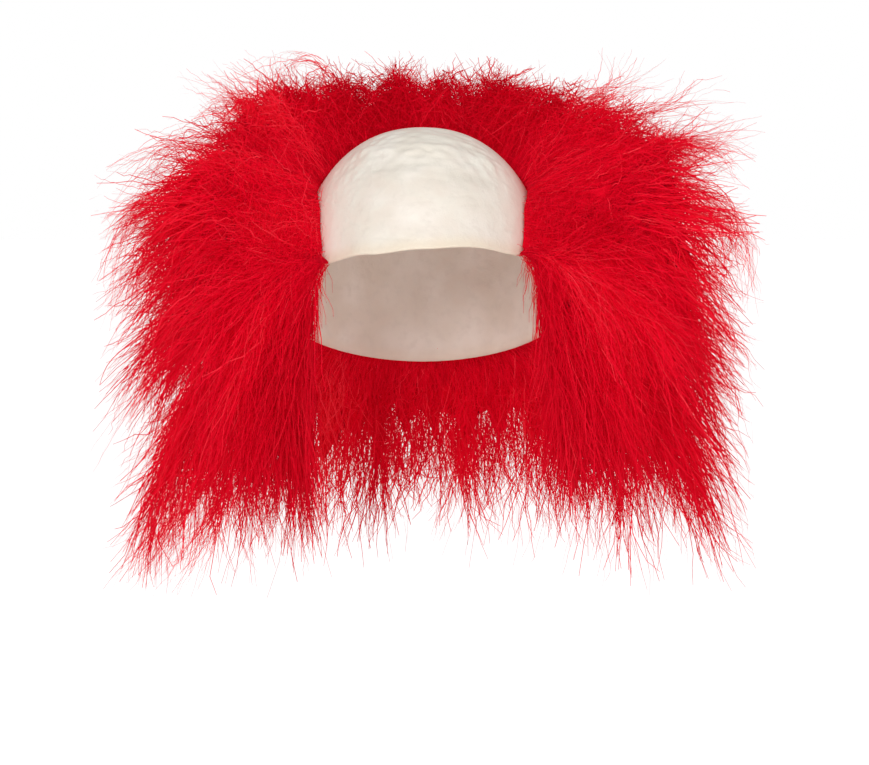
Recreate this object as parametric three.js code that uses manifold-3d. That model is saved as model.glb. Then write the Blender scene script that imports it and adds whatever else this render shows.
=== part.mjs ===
// Clown bald cap: a thin latex dome, open underneath, with panels of red hair on both sides and the back.
// Millimetres, +Z up. The brow side faces -Y, and +X is on the right of someone who looks at the brow.
// The origin is the highest point of the dome's inside, where the cap sits on the crown of the head.

import * as THREE from "three";
import { mergeVertices } from "three/addons/utils/BufferGeometryUtils.js";
import Module from "manifold-3d";

const wasm = await Module();
wasm.setup();

// Inside of the dome
const HALF_BREADTH = 73;
const HALF_LENGTH = 96;
const CROWN_HEIGHT = 100; // from the level of greatest girth up to the origin
const VAULT_POWER = 0.9; // 1 is a plain ellipsoid, less gives squarer shoulders
const BACK_FULLNESS = 0.04; // share by which the back is broader and the brow narrower
const TUCK_DEPTH = 255; // how slowly the form draws in below the greatest girth
const NECK_SHARE = 0.74; // narrowest that it gets, as a share of the girth
const LEVEL_DEPTH = 60; // drop for each whole level below the greatest girth

// Latex wall
const WALL = 1.5;
const RIM_FLARE = 1.6; // how far the free edge stands off the brow
const FLARE_START = 0.85; // share of the way down the wall where it starts to stand off
const FLARE_TURN = { full: 20, none: 35 }; // degrees either side of the middle of the brow
const DOME_SIDES = 52;
const DOME_ROWS = 14;
const LINING_ROWS = 9;

// Hair
const SEAT_GAP = 0.5; // between the hair and the latex
const BODY_SHARE = 0.6; // share of the hair's length that is one dense body, with loose locks beyond it
const BODY_COLUMNS = 9;
const BODY_ROWS = 8;
const ROOT_SINK = 12; // hair starts this far inside the head form, which then trims it
const LEAVE_SHARE = 0.5; // how much of its length a lock leaves the head by before it bends
const FACE_TURNS = [46, 312]; // where the hair starts on each side of the face
const FACE_REACH = 45; // degrees past there over which the hair is still combed for the face
const HANG_ROOTS = [0.3, 0.95]; // root shares from which hair starts to hang and hangs most
const FACE_HANG = 0.64; // how much straighter down it hangs beside the face
const BACK_HANG = 0.32; // and further back
const COMB_ROOTS = [0.2, 0.75]; // root shares between which the hair stops being combed down beside the face
const FACE_COMB = 1.3; // how far it is combed down there: 1 sends it level off the head, more sends it down
const SIDE_ARCH = 20; // how far the bend of a lock is raised at the sides
const BACK_ARCH = 6; // and at the back
const SIDE_TURNS = [40, 75]; // degrees from the nape over which back turns into side
const LOCK_SIDES = 6;
const SWAY_TURN = 4; // degrees by which tips stray sideways
const SWAY_LENGTH = 0.05; // share by which their lengths differ
const SWAY_STEP = 2.4; // radians of sway from one lock to the next
const FILLER_SHARE = 0.95; // length of the locks between the stations
const HEAD_CENTRE = new THREE.Vector3(0, 0, -88); // roots point away from here
const NAPE_LEVEL = 1.8; // just below the lowest latex edge
const CLEARANCE_LEVEL = 4.2; // the head form that trims the hair ends here, below every lock
const CLEARANCE_ROWS = 26;
const PANEL_REACH = 500;
const PANEL_SEAM = 0.4; // degrees left open on each side of a panel
const SECTOR_STEPS = 6;
const MERGE_DISTANCE = 1e-4;

const LATEX = { color: 0xf1e8d8, roughness: 0.48, metalness: 0 };
const HAIR = { color: 0xc80a1c, roughness: 0.62, metalness: 0 };

// Lower edge of the latex: turn from the brow in degrees, drop below the origin
const RIM = [
  { turn: 0, drop: 68 },
  { turn: 14, drop: 67 },
  { turn: 47, drop: 72 },
  { turn: 92, drop: 116 },
  { turn: 180, drop: 138 },
  { turn: 268, drop: 116 },
  { turn: 313, drop: 77 },
  { turn: 342, drop: 71 },
  { turn: 360, drop: 68 },
];

// Upper edge of the hair: level 0 is the top of the dome, 1 the greatest girth
const HAIRLINE = [
  { turn: 46, level: 0.83 },
  { turn: 60, level: 0.63 },
  { turn: 90, level: 0.5 },
  { turn: 135, level: 0.3 },
  { turn: 180, level: 0.22 },
  { turn: 225, level: 0.3 },
  { turn: 270, level: 0.5 },
  { turn: 298, level: 0.63 },
  { turn: 312, level: 0.83 },
];

// Soft dents and swellings near the top of the dome: place, half length, half breadth, slant and height
const DENTS = [
  { turn: -38, level: 0.36, long: 17, broad: 6, slant: 15, rise: 1.4 },
  { turn: 4, level: 0.33, long: 20, broad: 6, slant: -8, rise: 1.6 },
  { turn: 40, level: 0.42, long: 16, broad: 6, slant: -20, rise: 1.2 },
  { turn: -14, level: 0.45, long: 22, broad: 5, slant: 6, rise: -1.1 },
  { turn: 22, level: 0.52, long: 24, broad: 5, slant: -6, rise: -0.9 },
];

// Tiers of hair: root as a share of the way down from the hairline to the latex edge, and a lock's half sizes
const TIERS = [
  { name: "top", root: 0.06, width: 22, depth: 14 },
  { name: "high", root: 0.34, width: 26, depth: 23 },
  { name: "low", root: 0.66, width: 29, depth: 25 },
  { name: "hang", root: 0.94, width: 31, depth: 30 },
];

// Where the hair of each tier ends, at stations from the right temple round the back to the left one:
// reach is the level distance from the origin's upright, height is above the origin
const STATIONS = [
  { turn: 53, tipTurn: 72, top: [123, -72], high: [140, -118], low: [119, -162], hang: [87, -200] },
  { turn: 70, tipTurn: 84, top: [168, -8], high: [186, -54], low: [184, -150], hang: [115, -232] },
  { turn: 90, tipTurn: 96, top: [120, 8], high: [190, -96], low: [178, -174], hang: [180, -240] },
  { turn: 112, tipTurn: 114, top: [105, 22], high: [178, -8], low: [190, -120], hang: [152, -216] },
  { turn: 140, tipTurn: 140, top: [80, 36], high: [160, -54], low: [168, -156], hang: [138, -222] },
  { turn: 167, tipTurn: 168, top: [66, 37], high: [154, -74], low: [160, -170], hang: [124, -232] },
  { turn: 194, tipTurn: 193, top: [64, 38], high: [152, -78], low: [160, -174], hang: [122, -238] },
  { turn: 220, tipTurn: 220, top: [76, 32], high: [158, -52], low: [168, -158], hang: [138, -226] },
  { turn: 248, tipTurn: 246, top: [96, 25], high: [168, -12], low: [180, -118], hang: [146, -216] },
  { turn: 269, tipTurn: 264, top: [113, 20], high: [177, -84], low: [166, -168], hang: [172, -266] },
  { turn: 288, tipTurn: 276, top: [141, -20], high: [172, -50], low: [166, -142], hang: [100, -240] },
  { turn: 305, tipTurn: 288, top: [121, -72], high: [138, -118], low: [115, -166], hang: [74, -210] },
];

const PANELS = [
  { name: "hair_right", from: 2, to: 129, bodyFrom: 46, bodyTo: 129 },
  { name: "hair_back", from: 129, to: 231, bodyFrom: 129, bodyTo: 231 },
  { name: "hair_left", from: 231, to: 358, bodyFrom: 231, bodyTo: 312 },
];

// Thickness of a lock along its length, as a share of its tier's half sizes
const LOCK_PROFILE = [
  { along: 0, share: 0.7 },
  { along: 0.3, share: 0.92 },
  { along: 0.55, share: 1 },
  { along: 0.8, share: 0.7 },
  { along: 0.95, share: 0.27 },
];

const radians = THREE.MathUtils.degToRad;
const { lerp, smoothstep } = THREE.MathUtils;

// Eased value of a column of a table, looked up by its key column
function eased(rows, key, column, value) {
  const next = rows.findIndex((row) => row[key] >= value);
  if (next <= 0) {
    return rows[next === 0 ? 0 : rows.length - 1][column];
  }
  const before = rows[next - 1];
  const after = rows[next];
  return lerp(before[column], after[column], smoothstep(value, before[key], after[key]));
}

// Level at which the form has dropped this far below the origin
function levelAtDrop(drop) {
  if (drop >= CROWN_HEIGHT) {
    return 1 + (drop - CROWN_HEIGHT) / LEVEL_DEPTH;
  }
  return Math.acos((1 - drop / CROWN_HEIGHT) ** (1 / VAULT_POWER)) / (Math.PI / 2);
}

const rimLevel = (turn) => levelAtDrop(eased(RIM, "turn", "drop", turn));
const hairLevel = (turn) => eased(HAIRLINE, "turn", "level", turn);

// Point of the head form, raised by lift off the inside of the dome
function headPoint(turn, level, lift) {
  const angle = radians(turn);
  const breadth = HALF_BREADTH * (1 - BACK_FULLNESS * Math.cos(angle)) + lift;
  const girth = 1 / Math.hypot(Math.sin(angle) / breadth, Math.cos(angle) / (HALF_LENGTH + lift));
  const polar = (Math.min(level, 1) * Math.PI) / 2;
  const below = Math.max(level - 1, 0) * LEVEL_DEPTH;
  const tuck = Math.max(NECK_SHARE, 1 - (below / TUCK_DEPTH) ** 2);
  const radius = girth * Math.sin(polar) ** VAULT_POWER * tuck;
  const height = (CROWN_HEIGHT + lift) * Math.max(Math.cos(polar), 0) ** VAULT_POWER - CROWN_HEIGHT - below;
  return new THREE.Vector3(radius * Math.sin(angle), -radius * Math.cos(angle), height);
}

// Height of the dents and swellings at a place on the dome
function dentRise(turn, level) {
  const place = headPoint(turn, level, 0);
  let rise = 0;
  for (const dent of DENTS) {
    const away = place.clone().sub(headPoint(dent.turn, dent.level, 0));
    const slant = radians(dent.slant);
    const sideways = away.x * Math.cos(slant) + away.z * Math.sin(slant);
    const across = Math.hypot(away.y, away.z - sideways * Math.sin(slant));
    rise += dent.rise * Math.exp(-((sideways / dent.long) ** 2) - (across / dent.broad) ** 2);
  }
  return rise;
}

// End of the hair that grows at a turn and a root share
function hairTip(turn, root, stray) {
  const tiers = TIERS.map((tier) => {
    const ends = STATIONS.map((station) => ({
      turn: station.turn,
      reach: station[tier.name][0],
      height: station[tier.name][1],
    }));
    const reach = eased(ends, "turn", "reach", turn);
    const height = eased(ends, "turn", "height", turn);
    return { root: tier.root, reach, height };
  });
  const reach = eased(tiers, "root", "reach", root);
  const height = eased(tiers, "root", "height", root);
  const aim = radians(eased(STATIONS, "turn", "tipTurn", turn) + SWAY_TURN * stray);
  return new THREE.Vector3(reach * Math.sin(aim), -reach * Math.cos(aim), height);
}

// 0 at the two edges beside the face, 1 further back
function behindFace(turn) {
  return smoothstep(Math.min(turn - FACE_TURNS[0], FACE_TURNS[1] - turn), 0, FACE_REACH);
}

// How much less far a lock leaves the head: most at the lower edge, and beside the face
function hangShare(turn, root) {
  return lerp(FACE_HANG, BACK_HANG, behindFace(turn)) * smoothstep(root, ...HANG_ROOTS);
}

// Way in which the hair leaves the head: straight off it, but combed down beside the face
function leaveWay(scalp, turn, root) {
  const way = scalp.clone().sub(HEAD_CENTRE);
  way.z *= 1 - FACE_COMB * (1 - behindFace(turn)) * (1 - smoothstep(root, ...COMB_ROOTS));
  return way.normalize();
}

// How far the bend of a lock is raised
function archRise(turn) {
  const side = smoothstep(Math.abs(turn - 180), ...SIDE_TURNS);
  return lerp(BACK_ARCH, SIDE_ARCH, side) * behindFace(turn);
}

// Course of the hair from its root on the head to its end
function hairCurve(turn, root, stray, length) {
  const level = lerp(hairLevel(turn), rimLevel(turn), root);
  const scalp = headPoint(turn, level, WALL);
  const leave = leaveWay(scalp, turn, root);
  const tip = scalp.clone().lerp(hairTip(turn, root, stray), length);
  const share = LEAVE_SHARE * (1 - hangShare(turn, root));
  const bend = scalp.clone().addScaledVector(leave, share * scalp.distanceTo(tip));
  bend.z += archRise(turn);
  return new THREE.QuadraticBezierCurve3(scalp.addScaledVector(leave, -ROOT_SINK), bend, tip);
}

// Solid for joining and cutting
function solidOf(geometry) {
  const bare = geometry.clone();
  bare.deleteAttribute("normal");
  bare.deleteAttribute("uv");
  const merged = mergeVertices(bare, MERGE_DISTANCE);
  const corners = merged.index.array;
  const kept = [];
  for (let i = 0; i < corners.length; i += 3) {
    const [a, b, c] = [corners[i], corners[i + 1], corners[i + 2]];
    if (a !== b && b !== c && c !== a) {
      kept.push(a, b, c);
    }
  }
  const vertProperties = new Float32Array(merged.attributes.position.array);
  const triVerts = new Uint32Array(kept);
  return new wasm.Manifold(new wasm.Mesh({ numProp: 3, vertProperties, triVerts }));
}

// Named mesh of a solid, without loose crumbs or sealed pockets
function meshOf(name, solid, look) {
  const whole = solid.decompose().reduce((best, body) => (body.volume() > best.volume() ? body : best));
  const { vertProperties, triVerts } = whole.getMesh();
  const geometry = new THREE.BufferGeometry();
  geometry.setAttribute("position", new THREE.BufferAttribute(new Float32Array(vertProperties), 3));
  geometry.setIndex(new THREE.BufferAttribute(new Uint32Array(triVerts), 1));
  geometry.computeVertexNormals();
  const mesh = new THREE.Mesh(geometry, new THREE.MeshStandardMaterial(look));
  mesh.name = name;
  return mesh;
}

// Moves each point of a geometry to where a function of its place says
function reshape(geometry, place) {
  const position = geometry.attributes.position;
  const point = new THREE.Vector3();
  for (let i = 0; i < position.count; i += 1) {
    const moved = place(point.fromBufferAttribute(position, i), i);
    position.setXYZ(i, moved.x, moved.y, moved.z);
  }
  return geometry;
}

// Lathe whose points are placed by a function of the turn and the row of the profile
function headLathe(rows, place) {
  const profile = rows.map((row, index) => new THREE.Vector2(1, index));
  return reshape(new THREE.LatheGeometry(profile, DOME_SIDES), (point, i) => {
    const side = Math.floor(i / rows.length) % DOME_SIDES;
    return place((side * 360) / DOME_SIDES, rows[i % rows.length]);
  });
}

// Latex dome: down the lining from the top, round the free edge and up the outside
function domeGeometry() {
  const rows = [];
  for (let row = 0; row <= LINING_ROWS; row += 1) {
    rows.push({ share: row / LINING_ROWS, lift: 0 });
  }
  for (let row = DOME_ROWS; row >= 0; row -= 1) {
    rows.push({ share: row / DOME_ROWS, lift: WALL });
  }
  return headLathe(rows, (turn, { share, lift }) => {
    const level = share * rimLevel(turn);
    const brow = 1 - smoothstep(Math.min(turn, 360 - turn), FLARE_TURN.full, FLARE_TURN.none);
    const flare = RIM_FLARE * brow * smoothstep(share, FLARE_START, 1);
    return headPoint(turn, level, lift + flare + dentRise(turn, level));
  });
}

// Head form that trims the hair, from the top of the dome down past the longest lock
function clearanceGeometry() {
  const rows = [
    { level: CLEARANCE_LEVEL, inside: true },
    { level: CLEARANCE_LEVEL, inside: false },
    { level: (CLEARANCE_LEVEL + NAPE_LEVEL) / 2, inside: false },
  ];
  for (let row = CLEARANCE_ROWS; row >= 0; row -= 1) {
    rows.push({ level: (NAPE_LEVEL * row) / CLEARANCE_ROWS, inside: false });
  }
  return headLathe(rows, (turn, { level, inside }) => {
    const point = headPoint(turn, level, WALL + SEAT_GAP);
    return inside ? new THREE.Vector3(0, 0, point.z) : point;
  });
}

// Dense body of a panel: a slab bent over the head, as deep as the hair is before it parts into locks
function bodyGeometry({ bodyFrom, bodyTo }) {
  const slab = new THREE.BoxGeometry(1, 1, 1, BODY_COLUMNS, BODY_ROWS, 1);
  return reshape(slab, (point) => {
    const turn = lerp(bodyFrom, bodyTo, point.x + 0.5);
    const course = hairCurve(turn, 0.5 - point.y, 0, 1);
    return course.getPoint(point.z < 0 ? 0 : BODY_SHARE);
  });
}

// One lock: a spindle bent along the hair's course
function lockGeometry(turn, root, stray, length) {
  const course = hairCurve(turn, root, stray, length * (1 + SWAY_LENGTH * stray));
  const width = eased(TIERS, "root", "width", root);
  const depth = eased(TIERS, "root", "depth", root);
  const outline = LOCK_PROFILE.map(({ along, share }) => new THREE.Vector2(share, along));
  const profile = [new THREE.Vector2(0, 0), ...outline, new THREE.Vector2(0, 1)];
  const aim = radians((turn + eased(STATIONS, "turn", "tipTurn", turn)) / 2);
  const sideways = new THREE.Vector3(Math.cos(aim), Math.sin(aim), 0);
  return reshape(new THREE.LatheGeometry(profile, LOCK_SIDES), (point) => {
    const tangent = course.getTangent(point.y);
    const across = sideways.clone().addScaledVector(tangent, -sideways.dot(tangent)).normalize();
    const deep = across.clone().cross(tangent);
    const middle = course.getPoint(point.y);
    return middle.addScaledVector(across, point.x * width).addScaledVector(deep, point.z * depth);
  });
}

// Roots of all locks: one for each station and tier, and shorter ones between them
function lockRoots() {
  const roots = [];
  STATIONS.forEach((station, place) => {
    TIERS.forEach((tier, row) => {
      roots.push({ turn: station.turn, root: tier.root, length: 1 });
      if (place > 0 && row > 0) {
        const turn = (station.turn + STATIONS[place - 1].turn) / 2;
        const root = (tier.root + TIERS[row - 1].root) / 2;
        roots.push({ turn, root, length: FILLER_SHARE });
      }
    });
  });
  return roots.map((lock, index) => ({ ...lock, stray: Math.sin(SWAY_STEP * index) }));
}

// Sector of the room round the head that one panel keeps to
function sectorGeometry({ from, to }) {
  const outline = [new THREE.Vector2(0, 0)];
  for (let step = 0; step <= SECTOR_STEPS; step += 1) {
    const turn = radians(lerp(from + PANEL_SEAM, to - PANEL_SEAM, step / SECTOR_STEPS));
    outline.push(new THREE.Vector2(PANEL_REACH * Math.sin(turn), -PANEL_REACH * Math.cos(turn)));
  }
  const sector = new THREE.ExtrudeGeometry(new THREE.Shape(outline), {
    depth: 2 * PANEL_REACH,
    bevelEnabled: false,
  });
  return sector.translate(0, 0, -PANEL_REACH);
}

// Hair panel: dense body and locks in one, trimmed to its sector and clear of the head
function hairPanel(panel) {
  let hair = solidOf(bodyGeometry(panel));
  for (const { turn, root, stray, length } of lockRoots()) {
    if (turn >= panel.from && turn <= panel.to) {
      hair = hair.add(solidOf(lockGeometry(turn, root, stray, length)));
    }
  }
  hair = hair.intersect(solidOf(sectorGeometry(panel)));
  return hair.subtract(solidOf(clearanceGeometry()));
}

const cap = new THREE.Group();
cap.add(meshOf("bald_cap", solidOf(domeGeometry()), LATEX));
for (const panel of PANELS) {
  cap.add(meshOf(panel.name, hairPanel(panel), HAIR));
}

export default cap;
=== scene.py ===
"""Clown bald cap: a wrinkled latex dome with a bush of frizzy red hair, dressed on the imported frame."""

import logging
import math
from dataclasses import dataclass
from enum import Enum

import bpy
import numpy as np
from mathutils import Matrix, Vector


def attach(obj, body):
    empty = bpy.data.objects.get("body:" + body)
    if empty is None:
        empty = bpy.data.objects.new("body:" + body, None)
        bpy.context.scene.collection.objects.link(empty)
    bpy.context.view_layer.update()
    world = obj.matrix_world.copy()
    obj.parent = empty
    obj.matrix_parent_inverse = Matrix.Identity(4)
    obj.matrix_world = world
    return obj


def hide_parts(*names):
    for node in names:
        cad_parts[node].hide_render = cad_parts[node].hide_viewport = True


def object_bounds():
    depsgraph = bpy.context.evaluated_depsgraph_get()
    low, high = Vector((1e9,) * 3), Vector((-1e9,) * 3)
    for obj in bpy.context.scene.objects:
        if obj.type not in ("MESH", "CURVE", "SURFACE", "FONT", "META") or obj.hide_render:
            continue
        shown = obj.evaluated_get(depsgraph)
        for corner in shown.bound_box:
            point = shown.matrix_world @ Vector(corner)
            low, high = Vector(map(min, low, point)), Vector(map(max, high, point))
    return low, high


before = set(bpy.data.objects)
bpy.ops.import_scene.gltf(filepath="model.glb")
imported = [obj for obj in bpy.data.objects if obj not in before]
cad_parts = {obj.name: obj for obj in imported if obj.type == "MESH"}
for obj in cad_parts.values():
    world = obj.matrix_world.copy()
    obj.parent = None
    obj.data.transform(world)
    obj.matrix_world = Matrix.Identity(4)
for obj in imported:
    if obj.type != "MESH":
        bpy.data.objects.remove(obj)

CAD_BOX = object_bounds()
MM = 0.001
ROOT_BODY = "root"
FIBRE_UV = "OFBake"
NAPE_TURN = 180.0
FULL_TURN = 360.0
SHORTEST_LENGTH = 1e-9
CLOUD_DETAIL = 4.0

Pair = tuple[float, float]
Triple = tuple[float, float, float]
Colour = tuple[float, float, float, float]
Socket = bpy.types.NodeSocket

log = logging.getLogger("clown_bald_cap")


def smoothstep(value: np.ndarray | float, low: float, high: float) -> np.ndarray:
    """Eases from 0 at low to 1 at high.

    Args:
        value: Numbers to ease.
        low: Where the result is still 0.
        high: Where the result reaches 1.

    Returns:
        The eased numbers.
    """
    share = np.clip((np.asarray(value, float) - low) / (high - low), 0.0, 1.0)
    return share * share * (3.0 - 2.0 * share)


def unit(vectors: np.ndarray) -> np.ndarray:
    """Scales vectors to length 1.

    Args:
        vectors: Vectors along the last axis.

    Returns:
        Vectors of the same shape and length 1.
    """
    length = np.linalg.norm(vectors, axis=-1, keepdims=True)
    return vectors / np.maximum(length, SHORTEST_LENGTH)


@dataclass(frozen=True)
class EasedTable:
    """Short table of numbers, eased between its rows."""

    keys: tuple[float, ...]
    values: tuple[float, ...]

    def at(self, key: np.ndarray) -> np.ndarray:
        """Looks up eased values.

        Args:
            key: Keys to look up, held at the table's ends.

        Returns:
            One value for each key.
        """
        keys = np.array(self.keys)
        values = np.array(self.values)
        key = np.clip(key, keys[0], keys[-1])
        after = np.clip(np.searchsorted(keys, key), 1, len(keys) - 1)
        share = smoothstep((key - keys[after - 1]) / (keys[after] - keys[after - 1]), 0.0, 1.0)
        return values[after - 1] + (values[after] - values[after - 1]) * share


@dataclass(frozen=True)
class FlowingTable(EasedTable):
    """Short table of numbers that runs smoothly through its rows without a halt at any of them."""

    def at(self, key: np.ndarray) -> np.ndarray:
        """Looks up values on a smooth curve that never overshoots the rows.

        Args:
            key: Keys to look up, held at the table's ends.

        Returns:
            One value for each key.
        """
        keys = np.array(self.keys, float)
        values = np.array(self.values, float)
        rises = np.diff(values) / np.diff(keys)
        before, after = rises[:-1], rises[1:]
        onward = before * after > 0.0
        inner = np.where(onward, 2.0 * before * after / np.where(onward, before + after, 1.0), 0.0)
        slopes = np.concatenate([rises[:1], inner, rises[-1:]])
        key = np.clip(key, keys[0], keys[-1])
        last = np.clip(np.searchsorted(keys, key), 1, len(keys) - 1)
        first = last - 1
        step = keys[last] - keys[first]
        share = (key - keys[first]) / step
        eased = smoothstep(share, 0.0, 1.0)
        leaving = share * (1.0 - share) ** 2 * slopes[first]
        arriving = share**2 * (1.0 - share) * slopes[last]
        return values[first] + (values[last] - values[first]) * eased + step * (leaving - arriving)


@dataclass(frozen=True)
class HeadForm:
    """Inside of the dome, in millimetres, with turns in degrees from the middle of the brow."""

    half_breadth: float = 73.0
    half_length: float = 96.0
    crown_height: float = 100.0
    vault_power: float = 0.9
    back_fullness: float = 0.04
    tuck_depth: float = 255.0
    neck_share: float = 0.74
    level_depth: float = 60.0
    wall: float = 1.5
    rim_drop: EasedTable = EasedTable(
        (0, 14, 47, 92, 180, 268, 313, 342, 360),
        (68, 67, 72, 116, 138, 116, 77, 71, 68),
    )
    hairline: EasedTable = FlowingTable(
        (46, 60, 90, 135, 180, 225, 270, 298, 312),
        (0.83, 0.63, 0.5, 0.3, 0.22, 0.3, 0.5, 0.63, 0.83),
    )

    def point(self, turn: np.ndarray, level: np.ndarray, lift: np.ndarray | float) -> np.ndarray:
        """Places points over the head.

        Args:
            turn: Degrees round from the brow.
            level: 0 at the top, 1 at the greatest girth, more below it.
            lift: Height off the inside of the dome.

        Returns:
            Points along the last axis, in millimetres.
        """
        angle = np.radians(turn)
        breadth = self.half_breadth * (1.0 - self.back_fullness * np.cos(angle)) + lift
        girth = 1.0 / np.hypot(np.sin(angle) / breadth, np.cos(angle) / (self.half_length + lift))
        polar = np.minimum(level, 1.0) * np.pi / 2
        below = np.maximum(level - 1.0, 0.0) * self.level_depth
        tuck = np.maximum(self.neck_share, 1.0 - (below / self.tuck_depth) ** 2)
        radius = girth * np.sin(polar) ** self.vault_power * tuck
        vault = np.maximum(np.cos(polar), 0.0) ** self.vault_power
        height = (self.crown_height + lift) * vault - self.crown_height - below
        return np.stack(np.broadcast_arrays(radius * np.sin(angle), -radius * np.cos(angle), height), -1)

    def rim_level(self, turn: np.ndarray) -> np.ndarray:
        """Finds the level of the latex edge.

        Args:
            turn: Degrees round from the brow, from 0 to 360.

        Returns:
            The level at each turn.
        """
        drop = self.rim_drop.at(turn)
        above = np.clip(1.0 - drop / self.crown_height, 0.0, 1.0) ** (1.0 / self.vault_power)
        vault = np.arccos(above) / (np.pi / 2)
        below = 1.0 + (drop - self.crown_height) / self.level_depth
        return np.where(drop < self.crown_height, vault, below)


@dataclass(frozen=True)
class Station:
    """Where the hair at one turn of the head ends: level reach and height of each tier, in millimetres."""

    turn: float
    tip_turn: float
    top: Pair
    high: Pair
    low: Pair
    hang: Pair

    def ends(self) -> tuple[Pair, ...]:
        """Lists the ends of the tiers from the hairline down."""
        return (self.top, self.high, self.low, self.hang)


STATIONS = (
    Station(53, 72, (123, -72), (140, -118), (119, -162), (87, -200)),
    Station(70, 84, (168, -8), (186, -54), (184, -150), (115, -232)),
    Station(90, 96, (120, 8), (190, -96), (178, -174), (180, -240)),
    Station(112, 114, (105, 22), (178, -8), (190, -120), (152, -216)),
    Station(140, 140, (80, 36), (160, -54), (168, -156), (138, -222)),
    Station(167, 168, (66, 37), (154, -74), (160, -170), (124, -232)),
    Station(194, 193, (64, 38), (152, -78), (160, -174), (122, -238)),
    Station(220, 220, (76, 32), (158, -52), (168, -158), (138, -226)),
    Station(248, 246, (96, 25), (168, -12), (180, -118), (146, -216)),
    Station(269, 264, (113, 20), (177, -84), (166, -168), (172, -266)),
    Station(288, 276, (141, -20), (172, -50), (166, -142), (100, -240)),
    Station(305, 288, (121, -72), (138, -118), (115, -166), (74, -210)),
)
TIER_ROOTS = (0.06, 0.34, 0.66, 0.94)


@dataclass(frozen=True)
class HairField:
    """Course of the hair from any root on the head to its end."""

    head: HeadForm = HeadForm()
    leave_share: float = 0.5
    front_turns: Pair = (46.0, 312.0)
    front_reach: float = 45.0
    left_laps: Pair = (5.0, 11.0)
    right_laps: Pair = (2.4, 5.5)
    lap_roots: Pair = (0.4, 0.9)
    front_comb: float = 1.3
    comb_roots: Pair = (0.2, 0.75)
    hang_roots: Pair = (0.3, 0.95)
    side_arch: float = 20.0
    back_arch: float = 6.0
    side_turns: Pair = (40.0, 75.0)
    front_hang: float = 0.64
    back_hang: float = 0.32
    head_centre: Triple = (0.0, 0.0, -88.0)

    def tips(self, turn: np.ndarray, root: np.ndarray, stray: np.ndarray) -> np.ndarray:
        """Finds where the hair ends.

        Args:
            turn: Degrees round from the brow.
            root: Share of the way down from the hairline to the latex edge.
            stray: Degrees by which each end strays sideways.

        Returns:
            End points in millimetres.
        """
        turns = tuple(station.turn for station in STATIONS)
        ends = np.array([station.ends() for station in STATIONS])
        tiers = range(len(TIER_ROOTS))
        reaches = np.stack([EasedTable(turns, tuple(ends[:, tier, 0])).at(turn) for tier in tiers])
        heights = np.stack([EasedTable(turns, tuple(ends[:, tier, 1])).at(turn) for tier in tiers])
        place = EasedTable(TIER_ROOTS, tuple(float(tier) for tier in tiers)).at(root)
        first = np.clip(np.floor(place).astype(int), 0, len(TIER_ROOTS) - 2)
        share = place - first
        strand = np.arange(len(turn))
        reach = reaches[first, strand] * (1 - share) + reaches[first + 1, strand] * share
        height = heights[first, strand] * (1 - share) + heights[first + 1, strand] * share
        tip_turns = tuple(station.tip_turn for station in STATIONS)
        aim = np.radians(EasedTable(turns, tip_turns).at(turn) + stray)
        return np.stack([reach * np.sin(aim), -reach * np.cos(aim), height], -1)

    def scalp(self, turn: np.ndarray, root: np.ndarray) -> np.ndarray:
        """Places roots on the outside of the dome.

        Args:
            turn: Degrees round from the brow.
            root: Share of the way down from the hairline to the latex edge.

        Returns:
            Root points in millimetres.
        """
        top = self.head.hairline.at(turn)
        level = top + (self.head.rim_level(turn) - top) * root
        ease = smoothstep(root, *self.lap_roots)
        left = self.left_laps[0] + (self.left_laps[1] - self.left_laps[0]) * ease
        right = self.right_laps[0] + (self.right_laps[1] - self.right_laps[0]) * ease
        forward = np.where(turn < NAPE_TURN, -right, left) * self.beside_front(turn)
        return self.head.point(turn + forward, level, self.head.wall)

    def beside_front(self, turn: np.ndarray) -> np.ndarray:
        """Eases from 1 at the two edges beside the front opening to 0 further back.

        Args:
            turn: Degrees round from the brow.

        Returns:
            The eased numbers.
        """
        past_front = np.minimum(turn - self.front_turns[0], self.front_turns[1] - turn)
        return 1.0 - smoothstep(past_front, 0.0, self.front_reach)

    def course(
        self, turn: np.ndarray, root: np.ndarray, stray: np.ndarray, fling: np.ndarray
    ) -> np.ndarray:
        """Gives the three control points of each hair's curve.

        Args:
            turn: Degrees round from the brow.
            root: Share of the way down from the hairline to the latex edge.
            stray: Degrees by which each end strays sideways.
            fling: Further offset of each end, in millimetres.

        Returns:
            Root, bend and end of each hair, in an array of hairs by 3 by 3.
        """
        scalp = self.scalp(turn, root)
        beside_front = self.beside_front(turn)
        combed = beside_front * (1.0 - smoothstep(root, *self.comb_roots))
        leave = scalp - np.array(self.head_centre)
        leave[:, 2] *= 1.0 - self.front_comb * combed
        tip = self.tips(turn, root, stray) + fling
        hang = self.back_hang + (self.front_hang - self.back_hang) * beside_front
        share = self.leave_share * (1.0 - hang * smoothstep(root, *self.hang_roots))
        reach = share * np.linalg.norm(tip - scalp, axis=-1)
        bend = scalp + unit(leave) * reach[:, None]
        from_nape = np.abs(turn - NAPE_TURN)
        arch = self.back_arch + (self.side_arch - self.back_arch) * smoothstep(from_nape, *self.side_turns)
        bend[:, 2] += arch * (1.0 - beside_front)
        return np.stack([scalp, bend, tip], 1)

    @staticmethod
    def follow(course: np.ndarray, along: np.ndarray) -> np.ndarray:
        """Walks along the hairs' curves.

        Args:
            course: Control points, hairs by 3 by 3.
            along: Places along each hair, hairs by steps.

        Returns:
            Points, hairs by steps by 3.
        """
        onward = along[..., None]
        rest = 1 - onward
        start, bend, tip = course[:, None, 0], course[:, None, 1], course[:, None, 2]
        return rest**2 * start + 2 * rest * onward * bend + onward * onward * tip


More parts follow.
